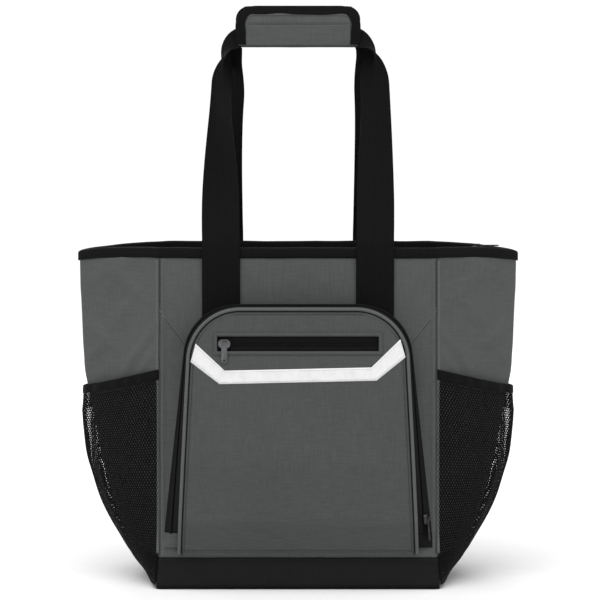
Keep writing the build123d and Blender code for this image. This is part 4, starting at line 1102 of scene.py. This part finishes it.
def add_closure():
    """Two cloth flaps that meet at the zip, their tapes and coils, and the end tabs."""
    for name, side in (("front", -1), ("rear", 1)):
        low, high = box(f"closure_flap_{name}")
        body = f"{name}_closure"
        hinge = max(abs(low[1]), abs(high[1]))
        reach = denser_ends(110)[:, None]
        back = np.linspace(0, 1, 40)[None, :]
        depth = hinge + 1.6 - (hinge + 1.6 - FLAP_EDGE) * back
        half = np.minimum(high[0] - 0.5, high[0] - 50 + 50 * np.clip((hinge - depth) / 40, 0, 1) ** 0.9 + 1.0)
        x, y = reach * half, side * depth + 0 * reach
        inside = np.clip(np.minimum(half - np.abs(x), depth - FLAP_EDGE) / 10, 0, 1)
        inside = inside * np.clip((hinge - depth) / 12, 0, 1)
        z = high[2] - 0.5 + (0.9 * ripple(x, y, 44.0) - 1.1) * inside
        outer = grid(x, y, z)
        hinge_z = z.mean() * MM
        start, end = (0, side * (hinge + 1.4) * MM, hinge_z), (0, side * (hinge - 5) * MM, hinge_z)
        flap = piece(f"closure_cloth_{name}", [thick(outer, 1.5, (0, 0, 1))], "black_fabric", None,
                     [f"closure_flap_{name}"], blended=("root", body, start, end))
        low, high = box(f"closure_tape_{name}")
        x, y = np.linspace(low[0], high[0], 120)[:, None], levels(low[1], high[1], 12)
        weave = grid(x, y, high[2] - 0.05 + 0.1 * ripple(x, y, 26.0))
        tape = piece(f"closure_strip_{name}", [thick(weave, 0.7, (0, 0, 1))], "zip_tape", body,
                     [f"closure_tape_{name}"])
        low, high = box(f"closure_coil_{name}")
        path = [(x, 0, (low[2] + high[2]) / 2) for x in (low[0], high[0])]
        teeth = [coil_teeth(path, (0, 0, 1), -side, reach=1.9, radius=0.68)]
        piece(f"closure_teeth_{name}", teeth, "zip_coil", body,
              [f"closure_coil_{name}"])
        row = [(x, side * 11.5, box(f"closure_tape_{name}")[1][2] + 0.1) for x in (-170, 170)]
        piece(f"closure_stitches_{name}", [threads(row, (0, 0, 1), radius=0.25)], "black_thread_and_painted_shade", body)
    for name, hand in (("left", -1), ("right", 1)):
        low, high = box(f"closure_end_tab_{name}")
        inner, outer_x = sorted((abs(low[0]), abs(high[0])))
        share = np.linspace(0, 1, 26)[:, None]
        x = inner + (outer_x - inner) * share
        half = high[1] * (1 - share) + 3.2 * share
        y = np.linspace(-1, 1, 30)[None, :] * half
        z = high[2] + 0.2 * ripple(x, y, 16.0) - RIM_DROOP * 0.5 * share**2
        top = grid(hand * x, y, z)
        tab = piece(f"closure_tab_{name}", [thick(top, 1.5, (0, 0, 1))], "black_fabric", "root",
                    [f"closure_end_tab_{name}"])
        seam_x, seam_y = hand * (inner + (outer_x - inner) * 0.45), high[1] * 0.4
        row = [(seam_x, y, high[2] - 0.1) for y in (-seam_y, seam_y)]
        piece(f"closure_tab_stitches_{name}", [threads(row, (0, 0, 1), radius=0.25)], "black_thread_and_painted_shade", "root")


# --- handles -------------------------------------------------------------------------------------
WEBBING_HALF_WIDTH, WEBBING_HALF_THICKNESS = 19.0, 0.95
STRAP_X, STRAP_Y = 77.0, 85.0
GRIP_MIDDLE = 559.5
HINGE_Z = 345.0


def folded_section(turn, shift, crown=0.0):
    """The webbing's section: its outer half turned over its inner half, moved across by a shift."""
    steps = np.linspace(-WEBBING_HALF_WIDTH, WEBBING_HALF_WIDTH, 39)
    bend = 2.9
    angle = turn * np.clip((steps + bend) / (2 * bend), 0, 1) + crown * np.cos(pi * steps / WEBBING_HALF_WIDTH / 2)
    ahead = np.stack([np.cos(angle), np.sin(angle)], 1)
    line = np.concatenate([[[0, 0]], np.cumsum((ahead[1:] + ahead[:-1]) / 2 * np.diff(steps)[:, None], axis=0)])
    line += (-WEBBING_HALF_WIDTH + shift, 0)
    normal = np.stack([-ahead[:, 1], ahead[:, 0]], 1)
    taper = np.sqrt(np.clip(1 - (np.abs(steps) / WEBBING_HALF_WIDTH) ** 12, 0.12, 1))[:, None]
    half = normal * WEBBING_HALF_THICKNESS * taper
    return np.concatenate([line + half, (line - half)[::-1]])


def smoothstep(value, low, high):
    """0 below low, 1 above high, and an even slope between."""
    share = np.clip((value - low) / (high - low), 0, 1)
    return share * share * (3 - 2 * share)


def half_strap(side, start, twist, bulge):
    """Rings of the right half of a handle's webbing, from its sewn end up to the middle of the grip."""
    route = [
        (STRAP_X, start, 85.0), (STRAP_X, 318, 85.0), (STRAP_X, 338, 85.0), (STRAP_X, 350, 84.4),
        (STRAP_X + 0.4, 366, 78.5), (STRAP_X + 1 + bulge * 0.1, 420, 56.0), (STRAP_X + 1.4 + bulge * 0.6, 470, 35.0),
        (STRAP_X + 0.4 + bulge, 505, 19.0), (STRAP_X - 1.6 + bulge, 524, 10.0), (STRAP_X - 3.5 + bulge, 540, 5.2),
        (STRAP_X - 9, 550.5, 3.6), (STRAP_X - 17, 556, 3.3), (46, GRIP_MIDDLE, 3.3), (0, GRIP_MIDDLE, 3.3),
    ]
    path = np.array([(x, side * y, z) for x, z, y in route])
    path = evenly(smoothed(path), 2.4)
    run = unit(np.gradient(path, axis=0))
    out = unit(np.array([(0, side, 0)]) - run * (run[:, 1:2] * side))
    across = np.cross(run, out) * (-side)
    rings = []
    for point, a, b, z, x in zip(path, across, out, path[:, 2], path[:, 0]):
        late = float(smoothstep(z + max(0.0, STRAP_X - x) * 2, 502, 592))
        angle = radians(twist) * float(smoothstep(z, 350, 500) * (1 - smoothstep(z, 528, 562)))
        a, b = a * cos(angle) + b * sin(angle), b * cos(angle) - a * sin(angle)
        crown = 0.10 * float(smoothstep(z, 352, 420)) * (1 - late)
        section = folded_section(radians(171) * late, 9.5 * late, crown)
        b_middle = section[:, 1].mean() * late
        rings.append(point + a * section[:, :1] + b * (section[:, 1:] - b_middle))
    return np.array(rings)


def add_straps():
    """Each handle: one length of webbing, sewn to the panel at both ends and folded narrow in the grip."""
    for name, side, node, twists, bulges in (
        ("front", -1, "front_strap_ends", (56.0, 38.0), (1.8, 2.0)),
        ("rear", 1, "rear_strap_ends", (24.0, 14.0), (-5.5, -1.0)),
    ):
        start = min(box(node)[0][2], 271.0)
        left = half_strap(side, start, twists[0], bulges[0]) * (-1, 1, 1)
        right = half_strap(side, start, twists[1], bulges[1])
        rings = np.concatenate([right, left[-2::-1]])
        body = f"{name}_handle"
        edge_y = side * STRAP_Y * MM
        blended = ("root", body, (0, edge_y, (HINGE_Z - 6) * MM), (0, edge_y, (HINGE_Z + 12) * MM))
        made = piece(f"{name}_webbing", [tube(rings)], "webbing", None, [node, f"{name}_handle_strap"],
                     blended=blended)
        rows = []
        for hand in (-1, 1):
            low, top = max(start + 4, 296.0) if side < 0 else start + 4, RIM_LOW[2] - 4
            y = side * (STRAP_Y + 1.0)
            for dx in (-15.5, 15.5):
                x = hand * STRAP_X + dx
                rows.append(threads([(x, y, low), (x, y, top)], (0, side, 0)))
            for z in (low, top):
                ends = [(hand * STRAP_X + dx, y, z) for dx in (-15.5, 15.5)]
                rows.append(threads(ends, (0, side, 0)))
            cross_low, cross_top = (low, top) if side < 0 else (low, low + 31)
            for dx in (15, -15):
                ends = [(hand * STRAP_X - dx, y, cross_low), (hand * STRAP_X + dx, y, cross_top)]
                rows.append(threads(ends, (0, side, 0)))
        piece(f"{name}_strap_stitches", rows, "black_thread_and_painted_shade", "root")


# --- grip wrap -----------------------------------------------------------------------------------
WRAP_HALF, WRAP_TOP = 63.6, 586.6
PAD_THICKNESS = 4.2
WRAP_BAND = 5.9  # half width of the binding round the wrap


def wrap_line(side, foot, with_fold):
    """The wrap's middle surface as (y, z) points, from its lower edge to its closed top edge."""
    rise = [(8.8, foot), (9.0, 560), (8.9, 571), (6.9, 580), (4.5, WRAP_TOP - 0.4)]
    if with_fold:
        rise = [(-5.8, 546.9), (4.5, 546.6), (7.6, 547.8), (8.9, 551.5)] + rise[1:]
    path = smoothed([(side * y, z) for y, z in rise], 3)
    return evenly(path, 1.3)


def wrap_half_length(z, corner):
    """Half length of the wrap at a height: its top corners are round."""
    over = np.clip(z - (WRAP_TOP - corner), 0, corner * 0.995)
    return WRAP_HALF - corner + np.sqrt(corner**2 - over**2)


def add_wrap():
    """The padded wrap: a back that folds under the straps, a front flap, bindings and hook tapes."""
    for name, side, body, foot, corner, with_fold in (
        ("rear", 1, "rear_handle", 549.2, 14.0, True), ("front", -1, "grip_flap", 546.6, 21.0, False),
    ):
        line = wrap_line(side, foot, with_fold)
        half = wrap_half_length(line[:, 1], corner)[None, :] - 1.5
        x = denser_ends(110)[:, None] * half
        middle = grid(x, line[None, :, 0], line[None, :, 1])
        out = away(middle, (0, side, 0)) if not with_fold else normals(middle)
        if with_fold and float(np.sum(out[:, -8:, 1])) * side < 0:
            out = -out
        to_foot, to_top = line[:, 1] - line[0, 1] + 3, WRAP_TOP - line[:, 1]
        to_edge = np.minimum(half - np.abs(x), np.minimum(to_foot, to_top)[None, :])
        puff = np.clip(to_edge / 9, 0.0, 1) ** 0.5
        wave = 0.25 * ripple(x, middle[..., 2], 19.0) * puff
        row = -0.7 * np.exp(-(((middle[..., 2] - 568.5) / 0.9) ** 2)) * (np.abs(x) < 52) * (not with_fold)
        outer = middle + out * (PAD_THICKNESS / 2 * (0.45 + 0.55 * puff) + wave + row)[..., None]
        inner = middle - out * (PAD_THICKNESS / 2 * (0.5 + 0.5 * puff))[..., None]
        pad = piece(f"grip_pad_{name}", [between(outer, inner, out)], "grey_fabric", body,
                    [f"grip_wrap_{name}"])
        band = WRAP_BAND
        upright, depth = line[-34:, 1], side * line[-34:, 0]
        reach = WRAP_HALF - band + 0.4
        outline = arch(reach, reach, foot + 1, WRAP_TOP - band + 1.0, corner - band, (26, 16, 50))
        y_at = np.interp(outline[:, 1], upright, depth)
        path = np.stack([outline[:, 0], side * y_at, outline[:, 1]], 1)
        tip = np.interp(outline[:, 1], upright, np.gradient(depth, upright))
        facing_out_of = np.stack([0 * tip, side + 0 * tip, -tip], 1)
        thin = np.interp(outline[:, 1], (560, WRAP_TOP - band + 1), (2.55, 2.2))
        section = np.stack([oval(band, 1.0, 3.0, 20) * (1, size) for size in thin])
        tape = piece(f"grip_edge_{name}", [swept(path, facing_out_of, section)], "binding", body,
                     [f"grip_binding_{name}"])
        reach = WRAP_HALF - 2 * band + 1.6
        inset = arch(reach, reach, foot + 1, WRAP_TOP - 2 * band + 2.2, 7.0, (26, 12, 40))
        y_at = side * np.interp(inset[:, 1], upright, depth) + side * 2.5
        row = np.stack([inset[:, 0], y_at, inset[:, 1]], 1)
        rows = [threads(row, (0, side, 0), pitch=3.0, length=2.2, radius=0.25)]
        piece(f"grip_edge_stitches_{name}", rows, "black_thread_and_painted_shade", body)
        if not with_fold:
            row = [(x, side * 10.6, 568.5) for x in np.linspace(-51, 51, 30)]
            piece("grip_pad_stitches", [threads(row, (0, side, 0), pitch=3.0, length=2.2)], "grey_thread_and_painted_shade", body)
    for node, made_name, body in (
        ("grip_loop_patch", "grip_loops", "rear_handle"), ("grip_hook_patch", "grip_hooks", "grip_flap"),
    ):
        low, high = box(node)
        x, z = np.linspace(low[0], high[0], 140)[:, None], levels(low[2], high[2], 9)
        nap = 0.18 * np.sin(x * 2.3) * np.sin(z * 2.6 + x)
        ahead = grid(x, low[1] + 0.2 + nap, z)
        behind = grid(x, high[1] - 0.2 - nap, z)
        piece(made_name, [between(behind, ahead, (0, 1, 0))], "hook_loop", body, [node])


# --- carried-over hard parts ---------------------------------------------------------------------
def add_hardware():
    """The sliders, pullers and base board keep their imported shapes, with finished materials."""
    for node, look in (
        ("closure_slider", "zip_dark"), ("closure_puller", "zip_dark"), ("slash_slider", "zip_metal"),
        ("slash_puller", "zip_metal"), ("pocket_slider", "zip_dark"), ("pocket_puller", "zip_dark"),
        ("base_board", "board"),
    ):
        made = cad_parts[node]
        made.data.materials.clear()
        made.data.materials.append(LOOKS[look])


# --- studio --------------------------------------------------------------------------------------
def aimed(name, data, place, towards):
    """A light or camera at a place, looking in a direction."""
    made = bpy.data.objects.new(name, data)
    made.location = place
    made.rotation_euler = towards.to_track_quat("-Z", "Y").to_euler()
    bpy.context.scene.collection.objects.link(made)
    return made


def soft_light(name, place, size, power):
    """A large square studio light, aimed at the middle of the bag."""
    data = bpy.data.lights.new(name, "AREA")
    data.shape, data.size, data.energy = "SQUARE", size, power
    aimed(name, data, place, Vector((0, 0, 0.3)) - Vector(place))


def add_studio():
    """A plain pale floor, a white surround and three soft lights."""
    mesh = bpy.data.meshes.new("floor")
    turn = np.linspace(0, 2 * pi, 96, endpoint=False)
    mesh.from_pydata([(9 * cos(a), 9 * sin(a), -0.0002) for a in turn], [], [tuple(range(96))])
    floor = bpy.data.objects.new("floor", mesh)
    bpy.context.scene.collection.objects.link(floor)
    paper = Look("paper", specular=0.1)
    grain = paper.noise(30.0, 2.0)
    tone = paper.graded(grain, [(0.0, (0.90, 0.90, 0.90)), (1.0, (0.93, 0.93, 0.93))])
    roughness = paper.math("ADD", paper.math("MULTIPLY", grain, 0.05), 0.9)
    mesh.materials.append(paper.finish(tone, roughness, grain, 0.05, 0.05))
    world = bpy.data.worlds.new("surround")
    world.use_nodes = True
    seen, lighting = 1.02, 0.62
    tree = world.node_tree
    path, strength = tree.nodes.new("ShaderNodeLightPath"), tree.nodes.new("ShaderNodeMapRange")
    strength.inputs["To Min"].default_value, strength.inputs["To Max"].default_value = lighting, seen
    tree.links.new(path.outputs["Is Camera Ray"], strength.inputs["Value"])
    tree.nodes["Background"].inputs["Color"].default_value = (1, 1, 1, 1)
    tree.links.new(strength.outputs["Result"], tree.nodes["Background"].inputs["Strength"])
    bpy.context.scene.world = world
    data = bpy.data.lights.new("sky_light", "SUN")
    data.energy, data.angle = 2.1, radians(60)
    aimed("sky_light", data, (0, 0, 0), Vector((0.25, 0.75, -1.35)))
    soft_light("right_light", (1.8, -1.6, 1.5), 1.0, 7)
    soft_light("back_light", (-0.6, 2.4, 1.7), 1.5, 16)


def add_camera():
    """The camera looks at the front from a little above the middle of the bag."""
    data = bpy.data.cameras.new("camera")
    data.lens, data.sensor_width = 165.0, 36.0
    data.shift_x, data.shift_y = 0.0033, -0.0153
    away_by, rise = 2.835, radians(3.5)
    offset = Vector((0, -cos(rise), sin(rise))) * away_by
    bpy.context.scene.camera = aimed("camera", data, Vector((0, 0, 0.295)) + offset, -offset)
    bpy.context.scene.view_settings.view_transform = "Standard"


add_camera()
add_walls()
add_lining()
add_base()
add_rim()
add_seams()
add_face()
add_gusset()
add_slash()
add_mesh_pockets()
add_closure()
add_straps()
add_wrap()
add_hardware()
add_studio()
